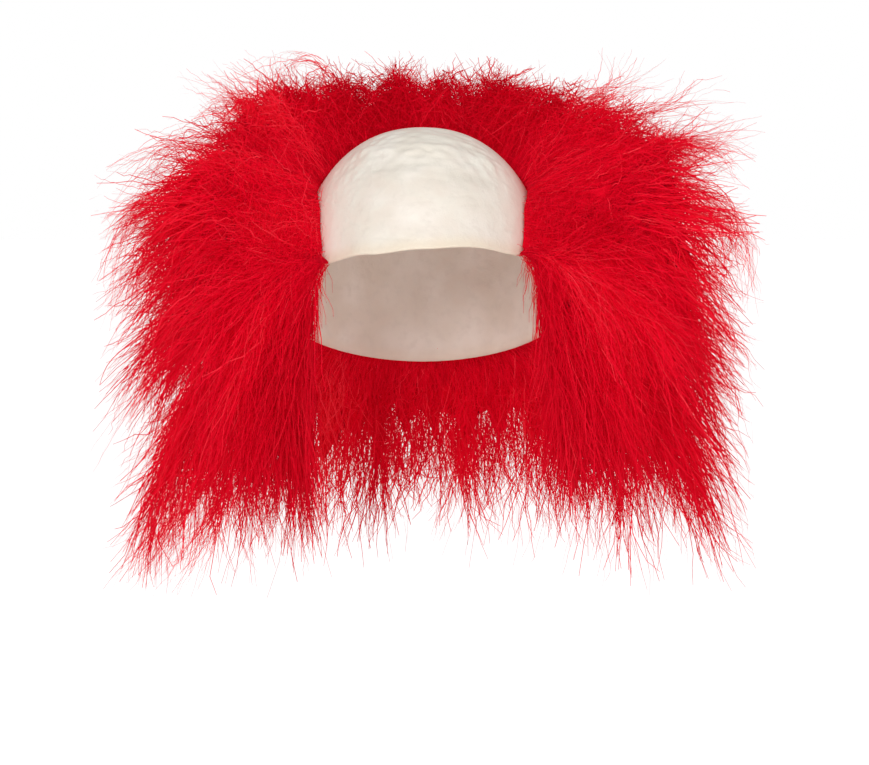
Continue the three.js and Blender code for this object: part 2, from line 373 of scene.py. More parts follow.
@dataclass(frozen=True)
class MeshSheet:
    """Points and faces of a mesh to be, with the numbers that its finish reads."""

    points: np.ndarray
    quads: np.ndarray
    uv: np.ndarray | None = None

    def to_object(self, name: str, marks: dict[str, np.ndarray] | None = None) -> bpy.types.Object:
        """Makes a smooth Blender object from points in millimetres.

        Args:
            name: Name of the piece.
            marks: Numbers for each point, by attribute name.

        Returns:
            The new object, linked to the scene.
        """
        mesh = bpy.data.meshes.new(name)
        mesh.vertices.add(len(self.points))
        mesh.vertices.foreach_set("co", (self.points * MM).astype(np.float32).ravel())
        sides = self.quads.shape[1]
        mesh.loops.add(self.quads.size)
        mesh.loops.foreach_set("vertex_index", self.quads.astype(np.int32).ravel())
        mesh.polygons.add(len(self.quads))
        mesh.polygons.foreach_set("loop_start", np.arange(0, self.quads.size, sides, dtype=np.int32))
        mesh.polygons.foreach_set("use_smooth", np.ones(len(self.quads), bool))
        mesh.update(calc_edges=True)
        if self.uv is not None:
            layer = mesh.uv_layers.new(name=FIBRE_UV)
            layer.data.foreach_set("uv", self.uv[self.quads.ravel()].astype(np.float32).ravel())
        for mark, numbers in (marks or {}).items():
            single = numbers.size == len(self.points)
            attribute = mesh.attributes.new(mark, "FLOAT" if single else "FLOAT_VECTOR", "POINT")
            field = "value" if single else "vector"
            attribute.data.foreach_set(field, numbers.astype(np.float32).ravel())
        mesh.validate()
        piece = bpy.data.objects.new(name, mesh)
        bpy.context.scene.collection.objects.link(piece)
        return piece


def grid_quads(rows: int, columns: int, closed: bool) -> np.ndarray:
    """Joins a grid of points, numbered row by row, into faces.

    Args:
        rows: Points down the grid.
        columns: Points across the grid.
        closed: Whether the last column meets the first.

    Returns:
        Point numbers of each face.
    """
    across = np.arange(columns if closed else columns - 1)
    down = np.arange(rows - 1)[:, None]
    beside = (across + 1) % columns
    here = down * columns
    there = here + columns
    return np.stack([here + across, there + across, there + beside, here + beside], -1).reshape(-1, 4)


@dataclass(frozen=True)
class ShaderSheet:
    """Adds and joins the nodes of one node tree."""

    tree: bpy.types.NodeTree

    def fill(self, node: bpy.types.Node, sockets: dict) -> None:
        """Sets the inputs of a node.

        Args:
            node: Node to set.
            sockets: Values or source sockets for its inputs, by name or number.
        """
        for key, value in sockets.items():
            if isinstance(value, Socket):
                self.tree.links.new(value, node.inputs[key])
            else:
                node.inputs[key].default_value = value

    def add(self, kind: str, sockets: dict | None = None, **settings: object) -> bpy.types.Node:
        """Adds a node.

        Args:
            kind: Blender's name of the node type.
            sockets: Values or source sockets for the node's inputs, by name or number.
            **settings: Properties of the node itself.

        Returns:
            The new node.
        """
        node = self.tree.nodes.new(kind)
        for name, value in settings.items():
            setattr(node, name, value)
        self.fill(node, sockets or {})
        return node

    def math(self, operation: str, first: object, second: object, third: object = 0.0) -> Socket:
        """Adds a sum of two or three values.

        Args:
            operation: Blender's name of the operation.
            first: Number or source socket.
            second: Number or source socket.
            third: Number or source socket, for operations that take three.

        Returns:
            The socket with the result.
        """
        sockets = {0: first, 1: second, 2: third}
        return self.add("ShaderNodeMath", sockets, operation=operation).outputs[0]

    def blend(self, share: object, first: object, second: object) -> Socket:
        """Mixes two colours.

        Args:
            share: How much of the second colour shows.
            first: Colour or source socket.
            second: Colour or source socket.

        Returns:
            The socket with the mixed colour.
        """
        factor, first_colour, second_colour, mixed_colour = 0, 6, 7, 2
        sockets = {factor: share, first_colour: first, second_colour: second}
        return self.add("ShaderNodeMix", sockets, data_type="RGBA").outputs[mixed_colour]

    def mark(self, name: str) -> Socket:
        """Reads a number that the mesh carries at each point."""
        return self.add("ShaderNodeAttribute", attribute_name=name).outputs["Fac"]


def srgb(red: int, green: int, blue: int) -> Colour:
    """Turns a screen colour into the linear colour that shaders take.

    Args:
        red: Red from 0 to 255.
        green: Green from 0 to 255.
        blue: Blue from 0 to 255.

    Returns:
        Linear red, green and blue, and full alpha.
    """
    shares = [value / 255 for value in (red, green, blue)]
    linear = [share / 12.92 if share <= 0.04045 else ((share + 0.055) / 1.055) ** 2.4 for share in shares]
    return (*linear, 1.0)


class EffectGroups:
    """Shader node groups that more than one finish uses, each built once."""

    _made: dict[str, bpy.types.NodeTree] = {}

    @classmethod
    def _start(
        cls, name: str, inputs: dict[str, str], output: tuple[str, str]
    ) -> tuple[ShaderSheet, bpy.types.Node, bpy.types.Node]:
        """Starts a group.

        Args:
            name: Name of the group.
            inputs: Socket types by socket name.
            output: Name and type of the only output.

        Returns:
            The sheet to add nodes to, the group's input node and its output node.
        """
        tree = bpy.data.node_groups.new(name, "ShaderNodeTree")
        for socket, kind in inputs.items():
            tree.interface.new_socket(name=socket, in_out="INPUT", socket_type=kind)
        tree.interface.new_socket(name=output[0], in_out="OUTPUT", socket_type=output[1])
        sheet = ShaderSheet(tree)
        cls._made[name] = tree
        return sheet, sheet.add("NodeGroupInput"), sheet.add("NodeGroupOutput")

    @classmethod
    def fibre_colour(cls) -> bpy.types.NodeTree:
        """Gives the group that colours fibre by its tone and by how far along it a point lies.

        Returns:
            The group's node tree.
        """
        if "Fibre Colour" not in cls._made:
            inputs = {
                "Tone": "NodeSocketFloat",
                "Along": "NodeSocketFloat",
                "Dark": "NodeSocketColor",
                "Middle": "NodeSocketColor",
                "Light": "NodeSocketColor",
                "Root Shade": "NodeSocketFloat",
            }
            sheet, source, target = cls._start("Fibre Colour", inputs, ("Colour", "NodeSocketColor"))
            tone = source.outputs["Tone"]
            lower = sheet.math("MINIMUM", sheet.math("MULTIPLY", tone, 2.0), 1.0)
            upper = sheet.math("MAXIMUM", sheet.math("MULTIPLY_ADD", tone, 2.0, -1.0), 0.0)
            colour = sheet.blend(lower, source.outputs["Dark"], source.outputs["Middle"])
            colour = sheet.blend(upper, colour, source.outputs["Light"])
            near_root = sheet.math("SUBTRACT", 1.0, source.outputs["Along"])
            near_root = sheet.math("POWER", near_root, 2.0)
            shade = sheet.math("MULTIPLY", near_root, source.outputs["Root Shade"])
            colour = sheet.blend(shade, colour, source.outputs["Dark"])
            sheet.fill(target, {"Colour": colour})
        return cls._made["Fibre Colour"]

    @classmethod
    def mottle(cls) -> bpy.types.NodeTree:
        """Gives the group that puts out a soft cloudy mask.

        Returns:
            The group's node tree.
        """
        if "Mottle" not in cls._made:
            inputs = {
                "Vector": "NodeSocketVector",
                "Scale": "NodeSocketFloat",
                "Detail": "NodeSocketFloat",
                "Low": "NodeSocketFloat",
                "High": "NodeSocketFloat",
            }
            sheet, source, target = cls._start("Mottle", inputs, ("Mask", "NodeSocketFloat"))
            grain = {name: source.outputs[name] for name in ("Vector", "Scale", "Detail")}
            span = {
                "Value": sheet.add("ShaderNodeTexNoise", grain).outputs[0],
                "From Min": source.outputs["Low"],
                "From Max": source.outputs["High"],
            }
            spread = sheet.add("ShaderNodeMapRange", span, interpolation_type="SMOOTHSTEP")
            sheet.fill(target, {"Mask": spread.outputs[0]})
        return cls._made["Mottle"]


def new_material(name: str) -> tuple[bpy.types.Material, ShaderSheet, bpy.types.Node]:
    """Starts a material with a Principled shader.

    Args:
        name: Name of the material.

    Returns:
        The material, the sheet to add nodes to and the shader node.
    """
    material = bpy.data.materials.new(name)
    material.use_nodes = True
    return material, ShaderSheet(material.node_tree), material.node_tree.nodes["Principled BSDF"]


def cloud_mask(sheet: ShaderSheet, place: Socket, scale: float, span: Pair) -> Socket:
    """Adds one soft cloudy mask to a material.

    Args:
        sheet: Sheet of the material.
        place: Socket with the coordinates.
        scale: Size of the clouds, larger is finer.
        span: Noise values that give 0 and 1.

    Returns:
        The socket with the mask.
    """
    sockets = {"Vector": place, "Scale": scale, "Detail": CLOUD_DETAIL, "Low": span[0], "High": span[1]}
    return sheet.add("ShaderNodeGroup", sockets, node_tree=EffectGroups.mottle()).outputs[0]


@dataclass(frozen=True)
class FibreFinish:
    """Frizzy red synthetic fibre, coloured by the tone and place along each strand, with a faint glow of
    painted light.
    """

    name: str = "red_fibre"
    dark: Colour = srgb(192, 0, 24)
    middle: Colour = srgb(231, 4, 39)
    # The pale pink end is reached mostly by the strands that carry painted glints.
    light: Colour = srgb(253, 66, 80)
    root_shade: float = 0.03
    roughness: float = 0.5
    specular: float = 0.06
    # Strength of the painted glow.
    glow: float = 0.13

    def colour(self, sheet: ShaderSheet, tone: object, along: object) -> Socket:
        """Adds the colour of the fibre to a material.

        Args:
            sheet: Sheet of the material.
            tone: Tone from 0 to 1, as a number or source socket.
            along: Place along the strand, as a number or source socket.

        Returns:
            The socket with the colour.
        """
        sockets = {
            "Tone": tone,
            "Along": along,
            "Dark": self.dark,
            "Middle": self.middle,
            "Light": self.light,
            "Root Shade": self.root_shade,
        }
        return sheet.add("ShaderNodeGroup", sockets, node_tree=EffectGroups.fibre_colour()).outputs[0]

    def surface(self, colour: Socket) -> dict[str, object]:
        """Lists what the shader's sockets take.

        Args:
            colour: Socket with the colour of the fibre.

        Returns:
            Values or source sockets by socket name.
        """
        return {
            "Base Color": colour,
            # Painted light: a faint glow in the fibre's own colour stands in for light scattered through
            # the bush.
            "Emission Color": colour,
            "Emission Strength": self.glow,
            "Roughness": self.roughness,
            "Specular IOR Level": self.specular,
        }

    def material(self) -> bpy.types.Material:
        """Builds the material.

        Returns:
            The new material.
        """
        material, sheet, shader = new_material(self.name)
        place = sheet.add("ShaderNodeUVMap", uv_map=FIBRE_UV)
        split = sheet.add("ShaderNodeSeparateXYZ", {0: place.outputs[0]})
        sheet.fill(shader, self.surface(self.colour(sheet, split.outputs[0], split.outputs[1])))
        return material


@dataclass(frozen=True)
class UndercoatFinish(FibreFinish):
    """Hair deep in the bush, in darker reds as painted shade and with a stronger painted glow, streaked
    like the fibre over it.
    """

    name: str = "red_undercoat"
    # Darker reds than the fibre's stand for painted shade deep in the bush.
    dark: Colour = srgb(172, 0, 20)
    middle: Colour = srgb(208, 3, 30)
    light: Colour = srgb(226, 9, 40)
    root_shade: float = 0.0
    roughness: float = 0.8
    specular: float = 0.04
    # A stronger glow than the fibre's: painted light that lifts the shadowed gaps.
    glow: float = 0.2
    streak_scale: float = 1.6
    streak_span: Pair = (0.25, 0.75)
    streak_depth: float = 0.001
    streak_strength: float = 0.8

    def material(self) -> bpy.types.Material:
        """Builds the material.

        Returns:
            The new material.
        """
        material, sheet, shader = new_material(self.name)
        flow = sheet.add("ShaderNodeAttribute", attribute_name="flow")
        streaks = cloud_mask(sheet, flow.outputs["Vector"], self.streak_scale, self.streak_span)
        sockets = {"Height": streaks, "Distance": self.streak_depth, "Strength": self.streak_strength}
        bump = sheet.add("ShaderNodeBump", sockets)
        sheet.fill(shader, self.surface(self.colour(sheet, streaks, 1.0)))
        sheet.fill(shader, {"Normal": bump.outputs[0]})
        return material


@dataclass(frozen=True)
class LatexFinish:
    """Satin cream latex with cloudy skin tints, a yellowed free edge, pores and a few dark specks, with
    painted light on its lower sides and painted shade in its creases.
    """

    name: str = "cream_latex"
    cream: Colour = srgb(240, 232, 218)
    pale: Colour = srgb(250, 245, 234)
    # Grey tints the fine mottle, and is also the painted shade laid in the creases.
    grey: Colour = srgb(222, 214, 200)
    blush: Colour = srgb(234, 204, 192)
    # Pale cream painted light for the lower sides of the dome.
    painted_side_light: Colour = srgb(248, 247, 233)
    edge: Colour = srgb(238, 216, 184)
    speck: Colour = srgb(104, 84, 66)
    cloud_scale: float = 42.0
    cloud_span: Pair = (0.35, 0.68)
    fine_scale: float = 168.0
    fine_span: Pair = (0.4, 0.75)
    fine_share: float = 0.35
    patch_scale: float = 67.2
    patch_span: Pair = (0.3, 0.7)
    patch_share: float = 0.6
    speck_scale: float = 95.0
    speck_size: float = 0.045
    speck_choice: float = 0.92
    speck_share: float = 0.75
    pore_scale: float = 1500.0
    pore_detail: float = 3.0
    dimple_share: float = 1.5
    skin_depth: float = 0.0004
    skin_strength: float = 0.35
    roughness: float = 0.41
    roughness_swing: float = 0.14
    specular: float = 0.42

    def _tint(self, sheet: ShaderSheet, place: object, fine: object) -> Socket:
        """Adds the colour of the latex.

        Args:
            sheet: Sheet of the material.
            place: Socket with the coordinates.
            fine: Socket with the fine clouds.

        Returns:
            The socket with the colour.
        """
        broad = cloud_mask(sheet, place, self.cloud_scale, self.cloud_span)
        patches = cloud_mask(sheet, place, self.patch_scale, self.patch_span)
        patches = sheet.math("MULTIPLY_ADD", patches, self.patch_share, 1.0 - self.patch_share)
        layers = (
            (sheet.math("MULTIPLY", fine, self.fine_share), self.grey),
            (sheet.math("MULTIPLY", sheet.mark("blush"), patches), self.blush),
            # Painted light on the lower sides of the dome.
            (sheet.mark("painted_side_light"), self.painted_side_light),
            (sheet.mark("edge"), self.edge),
            # Painted shade greying the hollows of the creases.
            (sheet.mark("crease"), self.grey),
        )
        colour = sheet.blend(broad, self.cream, self.pale)
        for share, tint in layers:
            colour = sheet.blend(share, colour, tint)
        cells = sheet.add("ShaderNodeTexVoronoi", {"Vector": place, "Scale": self.speck_scale})
        small = sheet.math("LESS_THAN", cells.outputs["Distance"], self.speck_size)
        chosen = sheet.add("ShaderNodeSeparateColor", {0: cells.outputs["Color"]}).outputs[0]
        rare = sheet.math("GREATER_THAN", chosen, self.speck_choice)
        specks = sheet.math("MULTIPLY", sheet.math("MULTIPLY", small, rare), sheet.mark("outside"))
        return sheet.blend(sheet.math("MULTIPLY", specks, self.speck_share), colour, self.speck)

    def material(self) -> bpy.types.Material:
        """Builds the material.

        Returns:
            The new material.
        """
        material, sheet, shader = new_material(self.name)
        place = sheet.add("ShaderNodeTexCoord").outputs["Object"]
        fine = cloud_mask(sheet, place, self.fine_scale, self.fine_span)
        grain = {"Vector": place, "Scale": self.pore_scale, "Detail": self.pore_detail}
        pores = sheet.add("ShaderNodeTexNoise", grain).outputs[0]
        skin = sheet.math("MULTIPLY_ADD", fine, self.dimple_share, pores)
        sockets = {"Height": skin, "Distance": self.skin_depth, "Strength": self.skin_strength}
        surface = {
            "Base Color": self._tint(sheet, place, fine),
            "Roughness": sheet.math("MULTIPLY_ADD", fine, self.roughness_swing, self.roughness),
            "Specular IOR Level": self.specular,
            "Normal": sheet.add("ShaderNodeBump", sockets).outputs[0],
        }
        sheet.fill(shader, surface)
        return material


@dataclass(frozen=True)
class Wrinkle:
    """Ridge or crease in the latex: place, half sizes and height in millimetres, and slant in degrees."""

    turn: float
    level: float
    long: float
    broad: float
    slant: float
    rise: float


WRINKLES = (
    Wrinkle(-38, 0.36, 17, 6, 15, 1.4),
    Wrinkle(4, 0.33, 20, 6, -8, 1.6),
    Wrinkle(40, 0.42, 16, 6, -20, 1.2),
    Wrinkle(-14, 0.45, 22, 5, 6, -1.1),
    Wrinkle(22, 0.52, 24, 5, -6, -0.9),
    Wrinkle(-23, 0.364, 8, 2.4, 5, 0.7),
    Wrinkle(-8, 0.377, 8, 2.6, 14, 1.0),
    Wrinkle(3, 0.362, 9, 1.2, -38, -0.8),
    Wrinkle(10, 0.39, 7, 2.2, -12, 0.8),
    Wrinkle(27, 0.436, 9, 1.3, -18, -0.5),
    Wrinkle(-14, 0.253, 9, 2.4, 5, 0.5),
    Wrinkle(12, 0.26, 9, 2.4, -10, 0.5),
    Wrinkle(-36, 0.44, 6, 2.4, 20, 0.5),
    Wrinkle(0, 0.633, 11, 0.8, 0, -0.35),
    Wrinkle(18, 0.61, 6, 0.8, 6, -0.3),
    Wrinkle(20, 0.649, 8, 0.8, 4, -0.3),
    Wrinkle(-10, 0.783, 28, 1.2, -2, -0.4),
    Wrinkle(38, 0.751, 6, 0.7, -3, -0.45),
)


@dataclass
class BaldCap:
    """Latex dome with its lining, wrinkles and free front edge."""

    head: HeadForm
    finish: LatexFinish
    brow_half: float = 64.0
    brow_columns: int = 150
    back_columns: int = 46
    outer_rows: int = 106
    outer_spacing: float = 1.05
    lining_rows: int = 22
    lining_spacing: float = 0.9
    pole: float = 1e-4
    turn_step: float = 0.5
    level_step: float = 0.005
    brow_turns: Pair = (20.0, 35.0)
    rim_flare: float = 1.6
    flare_from: float = 0.85
    rim_bead: float = 0.35
    bead_from: float = 0.975
    bead_inside: float = -0.4
    edge_round: float = 0.0035
    ripple: float = 0.32
    ripple_waves: int = 22
    ripple_pulls: Triple = (0.28, 0.5, 0.6)
    ripple_front: Pair = (0.1, 0.7)
    ripple_top: Pair = (0.06, 0.24)
    ripple_foot: Pair = (0.42, 0.62)
    ripple_rest: float = 0.12
    tint_levels: Pair = (0.25, 0.6)
    blush_share: float = 0.22
    # Turns over which the painted light on the sides fades in and out, and its share on the left.
    painted_side_light_from: Pair = (24.0, 52.0)
    painted_side_light_to: Pair = (60.0, 85.0)
    painted_side_light_left: float = 0.8
    edge_share: float = 0.45
    edge_from: float = 0.93
    # How strongly and how far the painted shade greys the crease hollows.
    crease_shade_share: float = 0.5
    crease_shade_most: float = 0.6
    crease_deep: float = 2.0
    seed: int = 11

    def _turns(self) -> np.ndarray:
        """Spaces the columns, closest across the brow.

        Returns:
            Turns of the columns, in degrees round from the brow.
        """
        brow = np.linspace(-self.brow_half, self.brow_half, self.brow_columns, endpoint=False)
        back = np.linspace(self.brow_half, FULL_TURN - self.brow_half, self.back_columns, endpoint=False)
        return np.concatenate([brow, back])

    def _inside(self, turn: float, level: float) -> np.ndarray:
        """Places one point on the inside of the dome, in millimetres."""
        return self.head.point(np.array(turn), np.array(level), 0.0)

    def _relief(self, turn: np.ndarray, level: np.ndarray) -> np.ndarray:
        """Adds up the wrinkles and a fine ripple near the top.

        Args:
            turn: Degrees round from the brow, from -180 to 180.
            level: Level on the dome.

        Returns:
            Height of the relief in millimetres.
        """
        place = self.head.point(turn, level, 0.0)
        relief = np.zeros(np.broadcast(turn, level).shape)
        for row in WRINKLES:
            centre = self._inside(row.turn, row.level)
            east = unit(self._inside(row.turn + self.turn_step, row.level) - centre)
            north = unit(self._inside(row.turn, row.level - self.level_step) - centre)
            slant = math.radians(row.slant)
            lengthwise = (place - centre) @ (east * math.cos(slant) + north * math.sin(slant))
            away = np.linalg.norm(place - centre, axis=-1)
            across = np.sqrt(np.maximum(away**2 - lengthwise**2, 0.0))
            relief += row.rise * np.exp(-((lengthwise / row.long) ** 2) - (across / row.broad) ** 2)
        rng = np.random.default_rng(self.seed)
        ripple = np.zeros_like(relief)
        for _ in range(self.ripple_waves):
            pull = rng.normal(size=3) * np.array(self.ripple_pulls)
            ripple += np.sin(place @ pull + rng.uniform(0, 2 * np.pi)) / math.sqrt(self.ripple_waves)
        front = smoothstep(np.cos(np.radians(turn)), *self.ripple_front)
        band = smoothstep(level, *self.ripple_top) * (1.0 - smoothstep(level, *self.ripple_foot))
        strength = self.ripple_rest + (1.0 - self.ripple_rest) * band
        return relief + self.ripple * ripple * front * strength

    def _marks(
        self,
        turn: np.ndarray,
        level: np.ndarray,
        share: np.ndarray,
        outside: np.ndarray,
        relief: np.ndarray,
    ) -> dict[str, np.ndarray]:
        """Gives the numbers that the finish reads at each point.

        Args:
            turn: Degrees round from the brow, from -180 to 180.
            level: Level on the dome.
            share: Share of the way from the top to the free edge.
            outside: True where a row lies on the outside.
            relief: Height of the relief in millimetres.

        Returns:
            Numbers for each point, by attribute name.
        """
        aside = np.abs(turn)
        brow = 1.0 - smoothstep(aside, *self.brow_turns)
        # Painted light: the lower sides of the dome are lifted towards pale cream, less on the left.
        painted_side_light = smoothstep(aside, *self.painted_side_light_from) * (1.0 - smoothstep(aside, *self.painted_side_light_to))
        tinted = smoothstep(level, *self.tint_levels)
        # Painted shade: the hollows of the creases are greyed.
        painted_crease_shade = np.clip(-relief * self.crease_shade_share, 0.0, self.crease_shade_most)
        marks = {
            "blush": self.blush_share * brow * tinted,
            "painted_side_light": np.where(turn > 0, 1.0, self.painted_side_light_left) * painted_side_light * tinted,
            "edge": self.edge_share * smoothstep(share, self.edge_from, 1.0),
            "outside": np.where(outside, 1.0, 0.0),
            "crease": painted_crease_shade * np.exp(-((relief / self.crease_deep) ** 2)),
        }
        return {mark: np.broadcast_to(value, relief.shape) for mark, value in marks.items()}

    def build(self) -> bpy.types.Object:
        """Builds the shell: down the lining, round the free edge and up the outside.

        Returns:
            The new object.
        """
        turn = self._turns()[None, :]
        lining = np.linspace(0.0, 1.0, self.lining_rows) ** self.lining_spacing
        outer = 1.0 - np.linspace(0.0, 1.0, self.outer_rows) ** self.outer_spacing
        share = np.concatenate([lining, [1.0], outer])[:, None]
        mid_wall = 0.5
        lift = np.concatenate([np.zeros(self.lining_rows), [mid_wall], np.ones(self.outer_rows)])[:, None]
        outside = lift >= mid_wall
        wrapped = np.where(turn < 0, turn + FULL_TURN, turn)
        signed = np.where(turn > NAPE_TURN, turn - FULL_TURN, turn)
        level = np.maximum(share, self.pole) * self.head.rim_level(wrapped)
        brow = 1.0 - smoothstep(np.abs(signed), *self.brow_turns)
        flare = self.rim_flare * brow * smoothstep(share, self.flare_from, 1.0)
        bead = self.rim_bead * smoothstep(share, self.bead_from, 1.0)
        bead = bead * np.where(outside, 1.0, self.bead_inside)
        round_edge = np.where(lift == mid_wall, self.edge_round, 0.0)
        relief = self._relief(signed, level)
        points = self.head.point(turn, level + round_edge, self.head.wall * lift + flare + bead + relief)
        sheet = MeshSheet(points.reshape(-1, 3), grid_quads(*points.shape[:2], closed=True))
        return sheet.to_object("latex_dome", self._marks(signed, level, share, outside, relief))

    def dress(self) -> list[bpy.types.Object]:
        """Builds the dome, gives it its finish and sets it on the frame.

        Returns:
            The new piece, in a list.
        """
        dome = self.build()
        dome.data.materials.append(self.finish.material())
        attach(dome, ROOT_BODY)
        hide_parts("bald_cap")
        return [dome]


class RootBand(Enum):
    """Where strands have their roots on a panel."""

    HAIRLINE = "along the hairline"
    EDGE = "along the latex edge"
    FRONT = "beside the front opening"
    ALL_OVER = "all over the panel"


@dataclass(frozen=True)
class StrandRecipe:
    """How one kind of strand grows: shares are of the hair's course, and sizes are in millimetres."""

    band: RootBand
    segments: int
    width: float
    starts: Pair
    spans: Pair
    gather: Pair
    scatter: float
    crimp: float
    wave: float
    curl: float
    droop: float


class Growth(Enum):
    """Kinds of strand in the bush."""

    BODY = StrandRecipe(
        RootBand.ALL_OVER, 8, 0.42, (0.0, 0.1), (0.7, 0.88), (0.3, 0.8), 6.0, 0.4, 2.2, 4.0, 3.0
    )
    TOP_COAT = StrandRecipe(
        RootBand.HAIRLINE, 7, 0.36, (0.0, 0.7), (0.16, 0.3), (0.1, 0.6), 10.0, 0.5, 2.0, 10.0, 2.0
    )
    FALL = StrandRecipe(
        RootBand.EDGE, 7, 0.36, (0.0, 0.65), (0.18, 0.32), (0.1, 0.6), 9.0, 0.5, 2.0, 8.0, 2.0
    )
    MIDDLE = StrandRecipe(
        RootBand.FRONT, 7, 0.36, (0.15, 0.65), (0.16, 0.3), (0.1, 0.6), 9.0, 0.5, 2.0, 10.0, 3.0
    )
    THATCH = StrandRecipe(
        RootBand.ALL_OVER, 5, 0.8, (0.42, 0.72), (0.2, 0.3), (0.2, 0.8), 9.0, 0.6, 2.0, 8.0, 3.0
    )
    CREST = StrandRecipe(
        RootBand.HAIRLINE, 8, 0.6, (0.42, 0.82), (0.2, 0.32), (0.3, 0.85), 8.0, 0.7, 2.4, 9.0, 2.0
    )
    HEM = StrandRecipe(
        RootBand.EDGE, 7, 0.66, (0.36, 0.8), (0.18, 0.3), (0.0, 0.6), 8.0, 0.7, 2.6, 12.0, 0.0
    )
    ENDS = StrandRecipe(
        RootBand.FRONT, 8, 0.6, (0.42, 0.82), (0.2, 0.32), (0.2, 0.8), 9.0, 0.7, 2.6, 10.0, 3.0
    )
    FLUFF = StrandRecipe(
        RootBand.ALL_OVER, 8, 0.6, (0.52, 0.84), (0.18, 0.3), (0.2, 0.85), 9.0, 0.7, 2.6, 11.0, 3.0
    )
    WISP = StrandRecipe(
        RootBand.ALL_OVER, 14, 0.3, (0.7, 0.88), (0.2, 0.3), (0.4, 0.9), 9.0, 0.7, 3.4, 14.0, 4.0
    )
    FLYAWAY = StrandRecipe(
        RootBand.ALL_OVER, 16, 0.2, (0.72, 0.86), (0.22, 0.32), (0.0, 0.3), 10.0, 0.6, 4.0, 16.0, 6.0
    )


@dataclass(frozen=True)
class StrayLock:
    """Loose wisp that stands out of the bush, along a curve that four places in millimetres steer."""

    places: tuple[Triple, ...]
    strands: int
    spread: float


LEFT_STRAYS = (
    StrayLock(((-80, 20, 12), (-88, 20, 22), (-98, 18, 34), (-105, 16, 45)), 30, 4.0),
    StrayLock(((-50, 25, 24), (-58, 24, 47), (-82, 22, 50), (-92, 20, 32)), 30, 5.0),
    StrayLock(((-92, 15, 6), (-104, 14, 14), (-116, 12, 26), (-122, 10, 22)), 70, 6.0),
    StrayLock(((-108, 0, -12), (-135, -2, -2), (-160, -4, -10), (-172, -6, -32)), 45, 8.0),
    StrayLock(((-128, -10, -32), (-160, -12, -34), (-176, -12, -52), (-174, -10, -80)), 70, 9.0),
    StrayLock(((-138, -14, -66), (-158, -14, -74), (-170, -12, -84), (-178, -10, -94)), 80, 7.0),
    StrayLock(((-118, -12, -138), (-134, -12, -158), (-146, -10, -178), (-153, -8, -198)), 120, 8.0),
    StrayLock(((-112, -8, -172), (-128, -8, -205), (-148, -8, -232), (-166, -6, -258)), 130, 7.0),
    StrayLock(((-100, -12, -180), (-112, -14, -210), (-126, -14, -232), (-140, -12, -252)), 90, 8.0),
)
RIGHT_STRAYS = (
    StrayLock(((78, 20, 10), (100, 18, 22), (118, 16, 22), (122, 15, 34)), 60, 5.0),
    StrayLock(((100, 5, 2), (132, 4, 10), (156, 2, 20), (177, 0, 20)), 30, 6.0),
    StrayLock(((118, -4, -20), (150, -6, -4), (168, -6, -3), (181, -6, -12)), 80, 6.0),
    StrayLock(((124, -10, -28), (144, -12, -27), (162, -12, -17), (178, -10, -8)), 40, 4.0),
    StrayLock(((132, -8, -34), (176, -10, -28), (199, -10, -66), (168, -8, -78)), 55, 8.0),
    StrayLock(((130, -6, -50), (162, -8, -42), (188, -8, -50), (188, -8, -94)), 60, 7.0),
)


@dataclass(frozen=True)
class SparseSpot:
    """Thin place in the bush: middle, half sizes, and shares of ends missing and undercoat drawn in."""

    turn: float
    root: float
    turn_size: float
    root_size: float
    missing: float
    drawn_in: float

    def nearness(self, turn: np.ndarray, root: np.ndarray) -> np.ndarray:
        """Eases from 1 in the middle of the thin place to 0 well outside it.

        Args:
            turn: Degrees round from the brow.
            root: Share of the way down from the hairline to the latex edge.

        Returns:
            The eased numbers.
        """
        across = (turn - self.turn) / self.turn_size
        down = (root - self.root) / self.root_size
        return np.exp(-(across**2) - down**2)


SPARSE_SPOTS = (
    SparseSpot(82, 0.34, 15, 0.1, 0.9, 0.12),
    SparseSpot(108, 0.16, 11, 0.12, 0.8, 0.16),
    SparseSpot(126, 0.06, 8, 0.12, 0.5, 0.1),
    SparseSpot(156, 0.04, 5, 0.14, 0.7, 0.14),
    SparseSpot(213, 0.04, 8, 0.14, 0.5, 0.1),
    SparseSpot(249, 0.32, 8, 0.07, 0.85, 0.16),
    SparseSpot(264, 0.19, 9, 0.06, 0.85, 0.16),
    SparseSpot(266, 0.78, 12, 0.085, 0.95, 0.34),
)


@dataclass(frozen=True)
class CrownDip:
    """Dip in the top edge of the bush: middle and half width in millimetres, and share of length lost."""

    across: float
    half_width: float
    depth: float
    roots: Pair = (0.12, 0.34)

    def share(self, course: np.ndarray, root: np.ndarray) -> np.ndarray:
        """Finds the share of the length that is lost by each hair.

        Args:
            course: Control points, hairs by 3 by 3.
            root: Share of the way down from the hairline to the latex edge.

        Returns:
            Shares from 0 to 1.
        """
        apart = (course[:, 2, 0] - self.across) / self.half_width
        return self.depth * np.exp(-(apart**2)) * (1.0 - smoothstep(root, *self.roots))


CROWN_DIPS = (CrownDip(-41, 11, 0.3), CrownDip(19, 8, 0.52), CrownDip(80, 17, 0.55))


@dataclass(frozen=True)
class PanelPlan:
    """Stretch of the head that one hair panel covers, and how many strands of each kind it has."""

    node: str
    turns: Pair
    front_turn: float | None
    counts: dict[Growth, int]
    strays: tuple[StrayLock, ...]
    seed: int


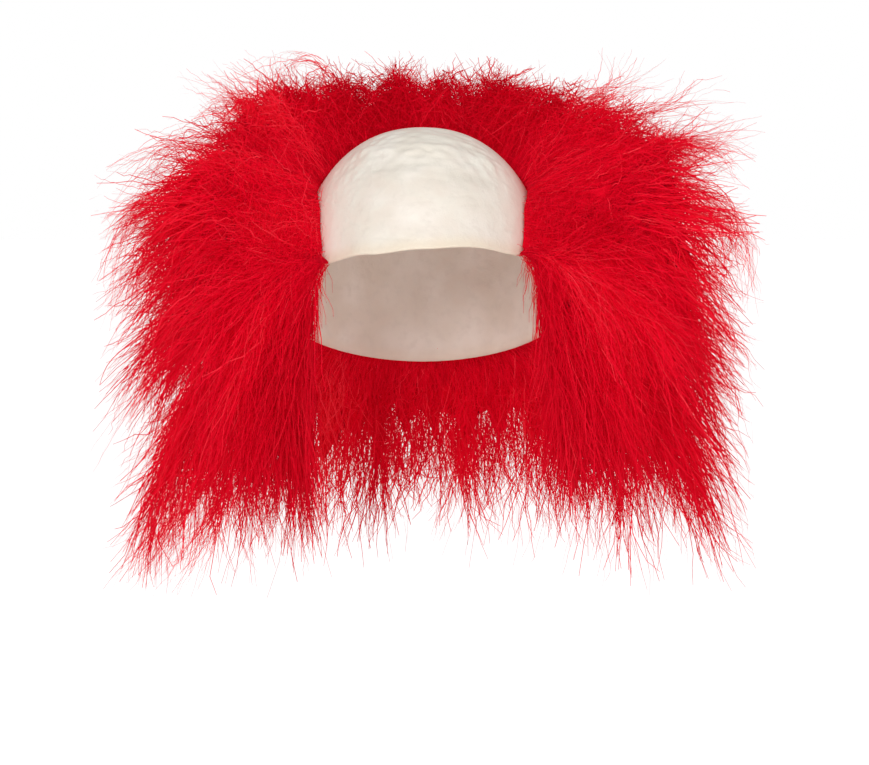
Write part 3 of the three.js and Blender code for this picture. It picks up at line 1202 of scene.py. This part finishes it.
SIDE_COUNTS = {
    Growth.BODY: 300,
    Growth.TOP_COAT: 2700,
    Growth.FALL: 1500,
    Growth.MIDDLE: 1800,
    Growth.THATCH: 6000,
    Growth.CREST: 2200,
    Growth.HEM: 2500,
    Growth.ENDS: 2800,
    Growth.FLUFF: 3200,
    Growth.WISP: 900,
    Growth.FLYAWAY: 150,
}
BACK_COUNTS = {
    Growth.BODY: 150,
    Growth.TOP_COAT: 1500,
    Growth.FALL: 1500,
    Growth.THATCH: 2600,
    Growth.CREST: 2400,
    Growth.HEM: 2900,
    Growth.FLUFF: 1700,
    Growth.WISP: 250,
    Growth.FLYAWAY: 50,
}


class Panel(Enum):
    """The three hair panels."""

    LEFT = PanelPlan("hair_left", (231.0, 313.0), 313.0, SIDE_COUNTS, LEFT_STRAYS, 101)
    RIGHT = PanelPlan("hair_right", (45.0, 129.0), 45.0, SIDE_COUNTS, RIGHT_STRAYS, 212)
    BACK = PanelPlan("hair_back", (129.0, 231.0), None, BACK_COUNTS, (), 303)


@dataclass(frozen=True)
class Tufts:
    """Locks that the hair of a panel gathers into: middle, course, length, bend and tone of each."""

    turn: np.ndarray
    root: np.ndarray
    course: np.ndarray
    reach: np.ndarray
    hook: np.ndarray
    tone: np.ndarray
    turn_size: float = 1.3
    root_size: float = 80.0
    gather_from: float = 0.2
    hook_span: Pair = (0.55, 1.05)

    def nearest(self, turn: np.ndarray, root: np.ndarray) -> tuple[np.ndarray, np.ndarray]:
        """Finds the tuft that each root belongs to.

        Args:
            turn: Degrees round from the brow.
            root: Share of the way down from the hairline to the latex edge.

        Returns:
            Number of the nearest tuft, and how far off its middle is in millimetres.
        """
        across = (turn[:, None] - self.turn) * self.turn_size
        down = (root[:, None] - self.root) * self.root_size
        apart = np.hypot(across, down)
        mine = np.argmin(apart, axis=1)
        return mine, apart[np.arange(turn.size), mine]

    def gather(self, path: np.ndarray, along: np.ndarray, mine: np.ndarray, pull: np.ndarray) -> np.ndarray:
        """Draws paths towards the middles of their tufts.

        Args:
            path: Points, strands by steps by 3.
            along: How far along the hair's course each point lies.
            mine: Number of each strand's tuft.
            pull: How strongly each strand is drawn in, from 0 to 1.

        Returns:
            The gathered points.
        """
        share = (pull[:, None] * smoothstep(along, self.gather_from, 1.0))[..., None]
        return path * (1.0 - share) + HairField.follow(self.course[mine], along) * share

    def bend(
        self, path: np.ndarray, along: np.ndarray, mine: np.ndarray, share: np.ndarray | float
    ) -> np.ndarray:
        """Bends the ends of paths the way that their tufts bend.

        Args:
            path: Points, strands by steps by 3.
            along: How far along the hair's course each point lies.
            mine: Number of each strand's tuft.
            share: How much of the tuft's bend each strand takes.

        Returns:
            The bent points.
        """
        hooked = share * smoothstep(along, *self.hook_span) ** 2
        return path + self.hook[mine][:, None] * hooked[..., None]


@dataclass(frozen=True)
class RootPlan:
    """How roots are scattered: turns in degrees, and depths as shares of the way down from the hairline."""

    samples: int = 400
    seam_lap: float = 5.0
    front_crowd: float = 1.5
    front_reach: float = 30.0
    front_depth: float = 8.0
    edge_depth: float = 0.07
    edge_deepest: float = 0.5
    edge_lap: float = 0.03


@dataclass(frozen=True)
class TuftPlan:
    """How tufts differ: strays in degrees, flings and hooks in millimetres, the rest as shares."""

    count: int = 130
    stray: float = 4.0
    fling: float = 6.0
    reach: float = 1.02
    short: float = 0.12
    hook: float = 11.0
    hook_droop: float = 4.0
    lock_hook: float = 0.4
    tone: float = 0.08


@dataclass(frozen=True)
class TonePlan:
    """Tones of the strands, from 0 for dark to 1 for light."""

    middle: float = 0.45
    stray_middle: float = 0.5
    spread: float = 0.06
    # A few strands, the share below, are lifted by this tone to a pale pink as painted glints.
    pale: float = 0.3
    painted_glint_share: float = 0.06
    crown_shade: float = 0.22
    crown_turns: Pair = (55.0, 95.0)
    front_shade: float = 0.28
    front_roots: Pair = (0.4, 1.0)
    limits: Pair = (0.03, 0.97)


@dataclass(frozen=True)
class StrandPlan:
    """What all kinds of strand have in common: sizes in millimetres, shares, and ranges of chance."""

    spare: float = 1.4
    proud: float = 10.0
    longest: float = 1.06
    wildest: float = 1.8
    end_stray: float = 3.0
    crown_trim: float = 0.17
    trim_roots: Pair = (0.0, 0.25)
    hooks: Pair = (0.4, 1.1)
    frizz_from: Pair = (0.0, 0.15)
    sparse_ends: Pair = (0.55, 0.75)
    front_stray: float = 1.5
    front_fall: float = 40.0
    front_close: float = 0.25
    crimps: Pair = (0.4, 1.5)
    wave_length: float = 40.0
    wave_lengths: Pair = (0.7, 1.5)
    waves: Pair = (0.4, 1.3)
    droops: Pair = (0.3, 1.3)
    widths: Pair = (0.7, 1.25)
    end_taper: float = 0.6
    root_taper: float = 0.4
    root_swell: float = 4.0
    stray_starts: Pair = (0.0, 0.4)
    stray_ends: Pair = (0.8, 1.0)
    stray_loose: tuple[float, float, float, float] = (0.7, 0.7, 0.8, 1.0)
    stray_frizz: float = 0.7
    tone_uv_step: float = 0.012
    along_uv_start: float = 0.02
    along_uv_share: float = 0.9
    seed_step: int = 50


@dataclass(frozen=True)
class UndercoatPlan:
    """Form of the mass under the strands: reaches as shares of the hair's course, and turns in degrees."""

    valley: float = 0.58
    peak: float = 0.78
    lobe: float = 4.6
    crown: float = 0.14
    crown_turns: Pair = (45.0, 80.0)
    crown_roots: Pair = (0.2, 0.5)
    dip: float = 0.45
    pull: float = 0.55
    hook_share: float = 0.75
    rough: float = 0.03
    start: float = 0.012
    inset: float = 0.08
    front_inset: float = 2.5
    flow: Triple = (1.3, 80.0, 6.0)
    lattice: tuple[int, int, int] = (90, 54, 10)
    seed_step: int = 7


@dataclass
class HairPanel:
    """One panel of hair: a lobed undercoat and the strands that grow over it."""

    plan: PanelPlan
    field: HairField
    fibre: bpy.types.Material
    undercoat: bpy.types.Material
    root_plan: RootPlan = RootPlan()
    tuft_plan: TuftPlan = TuftPlan()
    tone_plan: TonePlan = TonePlan()
    strand_plan: StrandPlan = StrandPlan()
    undercoat_plan: UndercoatPlan = UndercoatPlan()

    def _roots(self, band: RootBand, count: int, rng: np.random.Generator) -> tuple[np.ndarray, np.ndarray]:
        """Scatters roots evenly over the head, but more closely beside the front opening.

        Args:
            band: Part of the panel to scatter over.
            count: Number of roots.
            rng: Source of chance.

        Returns:
            Turn and root share of each.
        """
        plan = self.root_plan
        front = self.plan.front_turn
        low, high = self.plan.turns
        low -= 0.0 if front == low else plan.seam_lap
        high += 0.0 if front == high else plan.seam_lap
        turns = np.linspace(low, high, plan.samples)
        spread = rng.uniform(0.0, 1.0, count)
        if band is RootBand.FRONT:
            inward = rng.exponential(plan.front_depth, count)
            turn = low + inward if front == low else high - inward
            return np.clip(turn, low, high), spread
        line = {RootBand.HAIRLINE: 0.0, RootBand.EDGE: 1.0, RootBand.ALL_OVER: 0.5}[band]
        places = self.field.scalp(turns, np.full(turns.size, line))
        crowd = np.linalg.norm(np.gradient(places, axis=0), axis=1)
        if band is RootBand.ALL_OVER:
            top = self.field.scalp(turns, np.zeros(turns.size))
            foot = self.field.scalp(turns, np.ones(turns.size))
            crowd = crowd * np.linalg.norm(foot - top, axis=1)
        if front is not None:
            away = np.abs(turns - front)
            crowd = crowd * (1.0 + plan.front_crowd * (1.0 - smoothstep(away, 0.0, plan.front_reach)))
        passed = np.cumsum(crowd)
        turn = np.interp(rng.uniform(passed[0], passed[-1], count), passed, turns)
        if band is RootBand.ALL_OVER:
            return turn, spread
        depth = np.abs(rng.normal(0.0, plan.edge_depth, count))
        depth = np.minimum(depth, plan.edge_deepest) - plan.edge_lap
        root = line - depth if band is RootBand.EDGE else depth
        return turn, root

    def _tufts(self) -> Tufts:
        """Sets the tufts: the solids' own locks first, then others at random between them.

        Returns:
            The panel's tufts.
        """
        plan = self.tuft_plan
        low, high = self.plan.turns
        stations = [station.turn for station in STATIONS if low <= station.turn <= high]
        locks = np.array([(turn, root) for turn in stations for root in TIER_ROOTS])
        rng = np.random.default_rng(self.plan.seed)
        turn, root = self._roots(RootBand.ALL_OVER, plan.count - len(locks), rng)
        loose = np.concatenate([np.zeros(len(locks)), np.ones(turn.size)])
        turn = np.append(locks[:, 0], turn)
        root = np.append(locks[:, 1], root)
        stray = rng.normal(0.0, plan.stray, plan.count) * loose
        fling = rng.normal(0.0, plan.fling, (plan.count, 3)) * loose[:, None]
        reach = plan.reach - rng.uniform(0.0, plan.short, plan.count) * loose
        hook = rng.normal(0.0, plan.hook, (plan.count, 3)) - np.array([0.0, 0.0, plan.hook_droop])
        hook = hook * (plan.lock_hook + (1.0 - plan.lock_hook) * loose[:, None])
        tone = rng.normal(0.0, plan.tone, plan.count)
        return Tufts(turn, root, self.field.course(turn, root, stray, fling), reach, hook, tone)

    def _grow(self, kind: Growth, count: int, tufts: Tufts, rng: np.random.Generator) -> MeshSheet:
        """Grows strands of one kind as thin tapered ribbons.

        Args:
            kind: Kind of strand.
            count: Number of strands.
            tufts: Tufts that they gather into.
            rng: Source of chance.

        Returns:
            The strands as one mesh sheet.
        """
        recipe = kind.value
        plan = self.strand_plan
        tries = int(count * plan.spare)
        turn, root = self._roots(recipe.band, tries, rng)
        mine, _ = tufts.nearest(turn, root)
        steps = np.linspace(0.0, 1.0, recipe.segments + 1)
        start = rng.uniform(*recipe.starts, tries)
        trim = 1.0 - plan.crown_trim * (1.0 - smoothstep(root, *plan.trim_roots))
        end = np.minimum(start + rng.uniform(*recipe.spans, tries), plan.longest) * tufts.reach[mine] * trim
        fling = np.clip(rng.normal(0.0, 1.0, (tries, 3)), -plan.wildest, plan.wildest) * recipe.scatter
        course = self.field.course(turn, root, rng.normal(0.0, plan.end_stray, tries), fling)
        end *= 1.0 - sum(dip.share(course, root) for dip in CROWN_DIPS)
        along = start[:, None] + (end - start)[:, None] * steps
        path = self.field.follow(course, along)
        path = tufts.gather(path, along, mine, rng.uniform(*recipe.gather, tries))
        path = tufts.bend(path, along, mine, rng.uniform(*plan.hooks, (tries, 1)))
        path = path + self._frizz(recipe, path, rng) * smoothstep(along, *plan.frizz_from)[..., None]
        loose = plan.front_stray * rng.exponential(1.0, (tries, 1))
        path[..., 0] += self._draw_out(path, loose) * self.field.beside_front(turn)[:, None]
        tone = self._tone(turn, root, tufts.tone[mine], rng)
        present = self._present(turn, root, end, rng)
        kept = np.flatnonzero(self._inside(path) & present)[:count]
        return self._ribbons(path[kept], along[kept], recipe, tone[kept], rng)

    def _tone(
        self, turn: np.ndarray, root: np.ndarray, tuft_tone: np.ndarray, rng: np.random.Generator
    ) -> np.ndarray:
        """Chooses tones, darker at the crown and low beside the front opening.

        Args:
            turn: Degrees round from the brow.
            root: Share of the way down from the hairline to the latex edge.
            tuft_tone: What each strand's tuft adds to its tone.
            rng: Source of chance.

        Returns:
            Tone of each strand.
        """
        plan = self.tone_plan
        crown = 1.0 - smoothstep(np.abs(turn - NAPE_TURN), *plan.crown_turns)
        tone = plan.middle + rng.normal(0.0, plan.spread, turn.size) + tuft_tone
        # Painted glints: a few strands are lifted towards the pale pink.
        tone += plan.pale * (rng.uniform(0.0, 1.0, turn.size) < plan.painted_glint_share)
        tone -= plan.crown_shade * crown * (1.0 - root)
        tone -= plan.front_shade * self.field.beside_front(turn) * smoothstep(root, *plan.front_roots)
        return tone

    def _present(
        self, turn: np.ndarray, root: np.ndarray, end: np.ndarray, rng: np.random.Generator
    ) -> np.ndarray:
        """Tells which strands are there, fewer of the long ones where the bush is thin.

        Args:
            turn: Degrees round from the brow.
            root: Share of the way down from the hairline to the latex edge.
            end: How far along the hair's course each strand ends.
            rng: Source of chance.

        Returns:
            True for each strand that is there.
        """
        missing = sum(spot.missing * spot.nearness(turn, root) for spot in SPARSE_SPOTS)
        missing = missing * smoothstep(end, *self.strand_plan.sparse_ends)
        return rng.uniform(0.0, 1.0, turn.size) >= missing

    def _draw_out(self, path: np.ndarray, loose: np.ndarray) -> np.ndarray:
        """Finds how far points must move sideways so that strands don't cross the front opening.

        Args:
            path: Points, strands by steps by 3.
            loose: How far each strand may still hang into the opening, in millimetres.

        Returns:
            Sideways move of each point, in millimetres.
        """
        plan = self.strand_plan
        outward = np.sign(path[:, :1, 0])
        fallen = np.maximum(path[:, :1, 2] - path[..., 2] - plan.front_fall, 0.0)
        inmost = np.abs(path[:, :1, 0]) - loose - plan.front_close * fallen
        return outward * np.maximum(inmost - path[..., 0] * outward, 0.0)

    def _stray(self, lock: StrayLock, rng: np.random.Generator) -> MeshSheet:
        """Grows one stray lock.

        Args:
            lock: Places and number of its strands.
            rng: Source of chance.

        Returns:
            Its strands as one mesh sheet.
        """
        plan = self.strand_plan
        tones = self.tone_plan
        recipe = Growth.WISP.value
        steps = np.linspace(0.0, 1.0, recipe.segments + 1)
        start = rng.uniform(*plan.stray_starts, (lock.strands, 1))
        onward = (start + (rng.uniform(*plan.stray_ends, (lock.strands, 1)) - start) * steps)[..., None]
        rest = 1 - onward
        loose = rng.normal(0.0, lock.spread, (lock.strands, 4, 3)) * np.array(plan.stray_loose)[:, None]
        first, second, third, last = np.moveaxis(np.array(lock.places, float) + loose, 1, 0)[:, :, None]
        path = rest**3 * first + 3 * rest**2 * onward * second
        path = path + 3 * rest * onward**2 * third + onward**3 * last
        path = path + self._frizz(recipe, path, rng) * plan.stray_frizz
        tone = tones.stray_middle + rng.normal(0.0, tones.spread, lock.strands)
        kept = np.flatnonzero(self._inside(path))
        return self._ribbons(path[kept], np.ones((kept.size, steps.size)), recipe, tone[kept], rng)

    def _inside(self, path: np.ndarray) -> np.ndarray:
        """Tells which strands keep to the size of the solids.

        Args:
            path: Points, strands by steps by 3.

        Returns:
            True for each strand that stands proud of the solids' box by no more than the plan's margin.
        """
        low, high = (np.array(corner) / MM for corner in CAD_BOX)
        proud = self.strand_plan.proud
        fits = (path > low - proud) & (path < high + proud)
        return fits.all(axis=(1, 2))

    def _frizz(self, recipe: StrandRecipe, path: np.ndarray, rng: np.random.Generator) -> np.ndarray:
        """Makes the crimp, waves, curl and droop that strands carry on top of their course.

        Args:
            recipe: Kind of strand.
            path: Points, strands by steps by 3.
            rng: Source of chance.

        Returns:
            Offsets, strands by steps by 3.
        """
        plan = self.strand_plan
        count = len(path)
        steps = np.linspace(0.0, 1.0, path.shape[1])
        chord = np.linalg.norm(path[:, -1] - path[:, 0], axis=1)[:, None]
        way = unit(rng.normal(size=(count, 1, 3)))
        zigzag = np.where(np.arange(steps.size) % 2, 1.0, -1.0)
        zigzag = zigzag * rng.uniform(*plan.crimps, (count, steps.size))
        offset = recipe.crimp * zigzag[..., None] * way
        way = unit(rng.normal(size=(count, 1, 3)))
        cycles = chord / (plan.wave_length * rng.uniform(*plan.wave_lengths, (count, 1)))
        phase = rng.uniform(0.0, 2 * np.pi, (count, 1))
        wave = recipe.wave * rng.uniform(*plan.waves, (count, 1))
        wave = wave * np.sin(2 * np.pi * cycles * steps + phase)
        offset += wave[..., None] * way
        way = np.clip(rng.normal(size=(count, 1, 3)), -plan.wildest, plan.wildest) * recipe.curl
        way[..., 2] -= recipe.droop * rng.uniform(*plan.droops, (count, 1))
        return offset + way * (steps**2)[None, :, None]

    def _ribbons(
        self,
        path: np.ndarray,
        along: np.ndarray,
        recipe: StrandRecipe,
        tone: np.ndarray,
        rng: np.random.Generator,
    ) -> MeshSheet:
        """Widens paths into tapered ribbons.

        Args:
            path: Points, strands by steps by 3.
            along: How far along the hair's course each point lies.
            recipe: Kind of strand.
            tone: Tone of each strand.
            rng: Source of chance.

        Returns:
            The ribbons as one mesh sheet.
        """
        plan = self.strand_plan
        count, steps = path.shape[:2]
        tangent = unit(np.gradient(path, axis=1))
        across = unit(np.cross(tangent, unit(rng.normal(size=(count, 1, 3)))))
        place = np.linspace(0.0, 1.0, steps)
        taper = np.minimum(plan.root_taper + plan.root_swell * place, 1.0)
        taper = (1.0 - plan.end_taper * place**2) * taper
        half = 0.5 * recipe.width * rng.uniform(*plan.widths, (count, 1)) * taper
        sides = np.array([-1.0, 1.0])
        points = path[:, :, None, :] + across[:, :, None, :] * half[..., None, None] * sides[:, None]
        first = (np.arange(count) * steps * 2)[:, None] + np.arange(steps - 1) * 2
        quads = np.stack([first, first + 1, first + 3, first + 2], -1).reshape(-1, 4)
        tone = np.clip(tone, *self.tone_plan.limits)
        tone_uv = tone[:, None, None] + plan.tone_uv_step * sides
        along = np.clip(along, 0.0, plan.longest)[..., None]
        along_uv = plan.along_uv_start + plan.along_uv_share * along
        uv = np.stack(np.broadcast_arrays(tone_uv, along_uv), -1)
        return MeshSheet(points.reshape(-1, 3), quads, uv.reshape(-1, 2))

    @staticmethod
    def _join(sheets: list[MeshSheet]) -> MeshSheet:
        """Joins mesh sheets into one.

        Args:
            sheets: Sheets that all have UVs.

        Returns:
            One sheet with all their points and faces.
        """
        starts = np.cumsum([0] + [len(sheet.points) for sheet in sheets[:-1]])
        return MeshSheet(
            np.concatenate([sheet.points for sheet in sheets]),
            np.concatenate([sheet.quads + start for sheet, start in zip(sheets, starts)]),
            np.concatenate([sheet.uv for sheet in sheets]),
        )

    def _undercoat_reach(
        self, turn: np.ndarray, root: np.ndarray, course: np.ndarray, tufts: Tufts
    ) -> np.ndarray:
        """Finds how far along the hair the undercoat reaches, furthest in the middle of each tuft.

        Args:
            turn: Degrees round from the brow.
            root: Share of the way down from the hairline to the latex edge.
            course: Control points, hairs by 3 by 3.
            tufts: Tufts that shape the lobes.

        Returns:
            Shares of the hair's course.
        """
        plan = self.undercoat_plan
        mine, apart = tufts.nearest(turn, root)
        lobe = np.exp(-((apart / plan.lobe) ** 2))
        reach = plan.valley + (plan.peak - plan.valley) * lobe
        crown = 1.0 - smoothstep(np.abs(turn - NAPE_TURN), *plan.crown_turns)
        crown = crown * (1.0 - smoothstep(root, *plan.crown_roots))
        reach = reach + plan.crown * crown * (1.0 - lobe)
        reach = reach * (1.0 - sum(spot.drawn_in * spot.nearness(turn, root) for spot in SPARSE_SPOTS))
        reach = reach * (1.0 - plan.dip * sum(dip.share(course, root) for dip in CROWN_DIPS))
        rng = np.random.default_rng(self.plan.seed + plan.seed_step)
        return reach * tufts.reach[mine] * (1.0 + rng.normal(0.0, plan.rough, turn.size))

    def build_undercoat(self, tufts: Tufts) -> bpy.types.Object:
        """Builds the mass under the strands: the outside of a lattice along the hair, lobed by the tufts.

        Args:
            tufts: Tufts that shape the lobes.

        Returns:
            The new object.
        """
        plan = self.undercoat_plan
        low, high = self.plan.turns
        low += plan.front_inset if self.plan.front_turn == low else 0.0
        high -= plan.front_inset if self.plan.front_turn == high else 0.0
        columns, rows, layers = plan.lattice
        turns = np.linspace(low, high, columns)
        roots = np.linspace(plan.inset, 1.0 - plan.inset, rows)
        turn, root = (grid.ravel() for grid in np.meshgrid(turns, roots, indexing="ij"))
        still = np.zeros((turn.size, 3))
        course = self.field.course(turn, root, still[:, 0], still)
        reach = self._undercoat_reach(turn, root, course, tufts)
        along = plan.start + (reach - plan.start)[:, None] * np.linspace(0.0, 1.0, layers)
        mine, _ = tufts.nearest(turn, root)
        points = self.field.follow(course, along)
        points = tufts.gather(points, along, mine, np.full(turn.size, plan.pull))
        points = tufts.bend(points, along, mine, plan.hook_share)
        flow = np.stack(np.broadcast_arrays(turn[:, None], root[:, None], along), -1) * np.array(plan.flow)
        number = np.arange(columns * rows * layers).reshape(columns, rows, layers)
        skins = (
            number[:, :, -1],
            number[::-1, 0, :],
            number[:, -1, :],
            number[0, :, :],
            number[-1, ::-1, :],
        )
        quads = np.concatenate([skin.ravel()[grid_quads(*skin.shape, closed=False)] for skin in skins])
        used, renumbered = np.unique(quads, return_inverse=True)
        sheet = MeshSheet(points.reshape(-1, 3)[used], renumbered.reshape(quads.shape))
        return sheet.to_object(f"{self.plan.node}_undercoat", {"flow": flow.reshape(-1, 3)[used]})

    def dress(self) -> list[bpy.types.Object]:
        """Builds the undercoat and strands, gives them their finish and sets them on the frame.

        Returns:
            The new pieces.
        """
        rng = np.random.default_rng(self.plan.seed + self.strand_plan.seed_step)
        tufts = self._tufts()
        grown = {kind: self._grow(kind, count, tufts, rng) for kind, count in self.plan.counts.items()}
        layers = {
            "bush": (Growth.BODY, Growth.TOP_COAT, Growth.FALL, Growth.MIDDLE, Growth.THATCH),
            "fringe": (Growth.CREST, Growth.HEM, Growth.ENDS),
            "wisps": (Growth.FLUFF, Growth.WISP, Growth.FLYAWAY),
        }
        strands = []
        for layer, kinds in layers.items():
            sheets = [grown[kind] for kind in kinds if kind in grown]
            if layer == "wisps":
                sheets += [self._stray(lock, rng) for lock in self.plan.strays]
            strands.append(self._join(sheets).to_object(f"{self.plan.node}_{layer}"))
            strands[-1].data.materials.append(self.fibre)
        mass = self.build_undercoat(tufts)
        mass.data.materials.append(self.undercoat)
        for piece in (*strands, mass):
            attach(piece, ROOT_BODY)
        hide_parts(self.plan.node)
        return [*strands, mass]


@dataclass(frozen=True)
class FloorFinish:
    """Plain pale studio floor."""

    name: str = "studio_floor"
    colour: Colour = (0.96, 0.96, 0.96, 1.0)
    roughness: float = 0.9
    glow: float = 0.55

    def material(self) -> bpy.types.Material:
        """Builds the material.

        Returns:
            The new material.
        """
        material, sheet, shader = new_material(self.name)
        seen = sheet.add("ShaderNodeLightPath").outputs["Is Camera Ray"]
        surface = {
            "Base Color": self.colour,
            "Emission Color": self.colour,
            "Emission Strength": sheet.math("MULTIPLY", seen, self.glow),
            "Roughness": self.roughness,
        }
        sheet.fill(shader, surface)
        return material


@dataclass(frozen=True)
class SoftLight:
    """Square softbox: place, what it points at and its side in metres, and its power in watts."""

    name: str
    place: Triple
    aim: Triple
    side: float
    power: float

    def hang(self) -> None:
        """Adds the light to the scene."""
        lamp = bpy.data.lights.new(self.name, "AREA")
        lamp.shape = "SQUARE"
        lamp.size = self.side
        lamp.energy = self.power
        light = bpy.data.objects.new(self.name, lamp)
        light.location = self.place
        light.rotation_euler = (Vector(self.aim) - Vector(self.place)).to_track_quat("-Z", "Y").to_euler()
        bpy.context.scene.collection.objects.link(light)


@dataclass
class Studio:
    """Pale floor, soft light and the camera, in metres."""

    floor_height: float = -0.42
    floor_side: float = 80.0
    backdrop: float = 1.0
    ambient: float = 0.55
    camera_distance: float = 1.9
    camera_elevation: float = 3.0
    camera_aim: Triple = (0.007, 0.0, -0.146)
    frame_width: float = 0.504
    sensor: float = 36.0
    lights: tuple[SoftLight, ...] = (
        SoftLight("key_softbox", (-0.65, -1.95, 0.45), (0, 0, -0.08), 0.6, 14.5),
        SoftLight("fill_softbox", (1.3, -1.8, 0.1), (0, 0, -0.1), 1.2, 10.0),
        SoftLight("top_softbox", (0.0, 0.3, 1.7), (0, 0, -0.1), 1.4, 2.5),
    )

    def set_floor(self) -> None:
        """Lays the floor."""
        half = self.floor_side / 2 / MM
        height = self.floor_height / MM
        corners = ((-half, -half), (half, -half), (half, half), (-half, half))
        points = np.array([(across, deep, height) for across, deep in corners])
        floor = MeshSheet(points, np.array([[0, 1, 2, 3]])).to_object("studio_floor")
        floor.data.materials.append(FloorFinish().material())

    def set_world(self) -> None:
        """Sets a white backdrop that lights the cap more softly than it shows."""
        world = bpy.data.worlds.new("studio_white")
        world.use_nodes = True
        sheet = ShaderSheet(world.node_tree)
        seen = sheet.add("ShaderNodeLightPath").outputs["Is Camera Ray"]
        strength = sheet.math("MULTIPLY_ADD", seen, self.backdrop - self.ambient, self.ambient)
        white = (1.0, 1.0, 1.0, 1.0)
        sheet.fill(world.node_tree.nodes["Background"], {"Color": white, "Strength": strength})
        bpy.context.scene.world = world

    def set_camera(self) -> None:
        """Sets the camera in front of the brow, as far off and as high as in the photograph."""
        lens = bpy.data.cameras.new("camera")
        lens.sensor_fit = "HORIZONTAL"
        lens.sensor_width = self.sensor
        lens.lens = self.sensor * self.camera_distance / self.frame_width
        camera = bpy.data.objects.new("camera", lens)
        rise = math.radians(self.camera_elevation)
        back = Vector((0.0, -math.cos(rise), math.sin(rise))) * self.camera_distance
        camera.location = Vector(self.camera_aim) + back
        camera.rotation_euler = (math.pi / 2 - rise, 0.0, 0.0)
        bpy.context.scene.collection.objects.link(camera)
        bpy.context.scene.camera = camera

    def set_up(self) -> None:
        """Builds the whole studio."""
        self.set_floor()
        self.set_world()
        self.set_camera()
        for light in self.lights:
            light.hang()
        view = bpy.context.scene.view_settings
        view.view_transform = "Standard"
        view.look = "None"


def main() -> None:
    """Builds the studio, the latex dome and the hair panels, and reports each piece."""
    logging.basicConfig(level=logging.INFO, format="%(name)s: %(message)s")
    Studio().set_up()
    head = HeadForm()
    field = HairField(head)
    fibre = FibreFinish().material()
    undercoat = UndercoatFinish().material()
    assemblies = [BaldCap(head, LatexFinish())]
    assemblies += [HairPanel(panel.value, field, fibre, undercoat) for panel in Panel]
    for assembly in assemblies:
        for piece in assembly.dress():
            log.info("%s: %d faces", piece.name, len(piece.data.polygons))


if __name__ == "__main__":
    main()
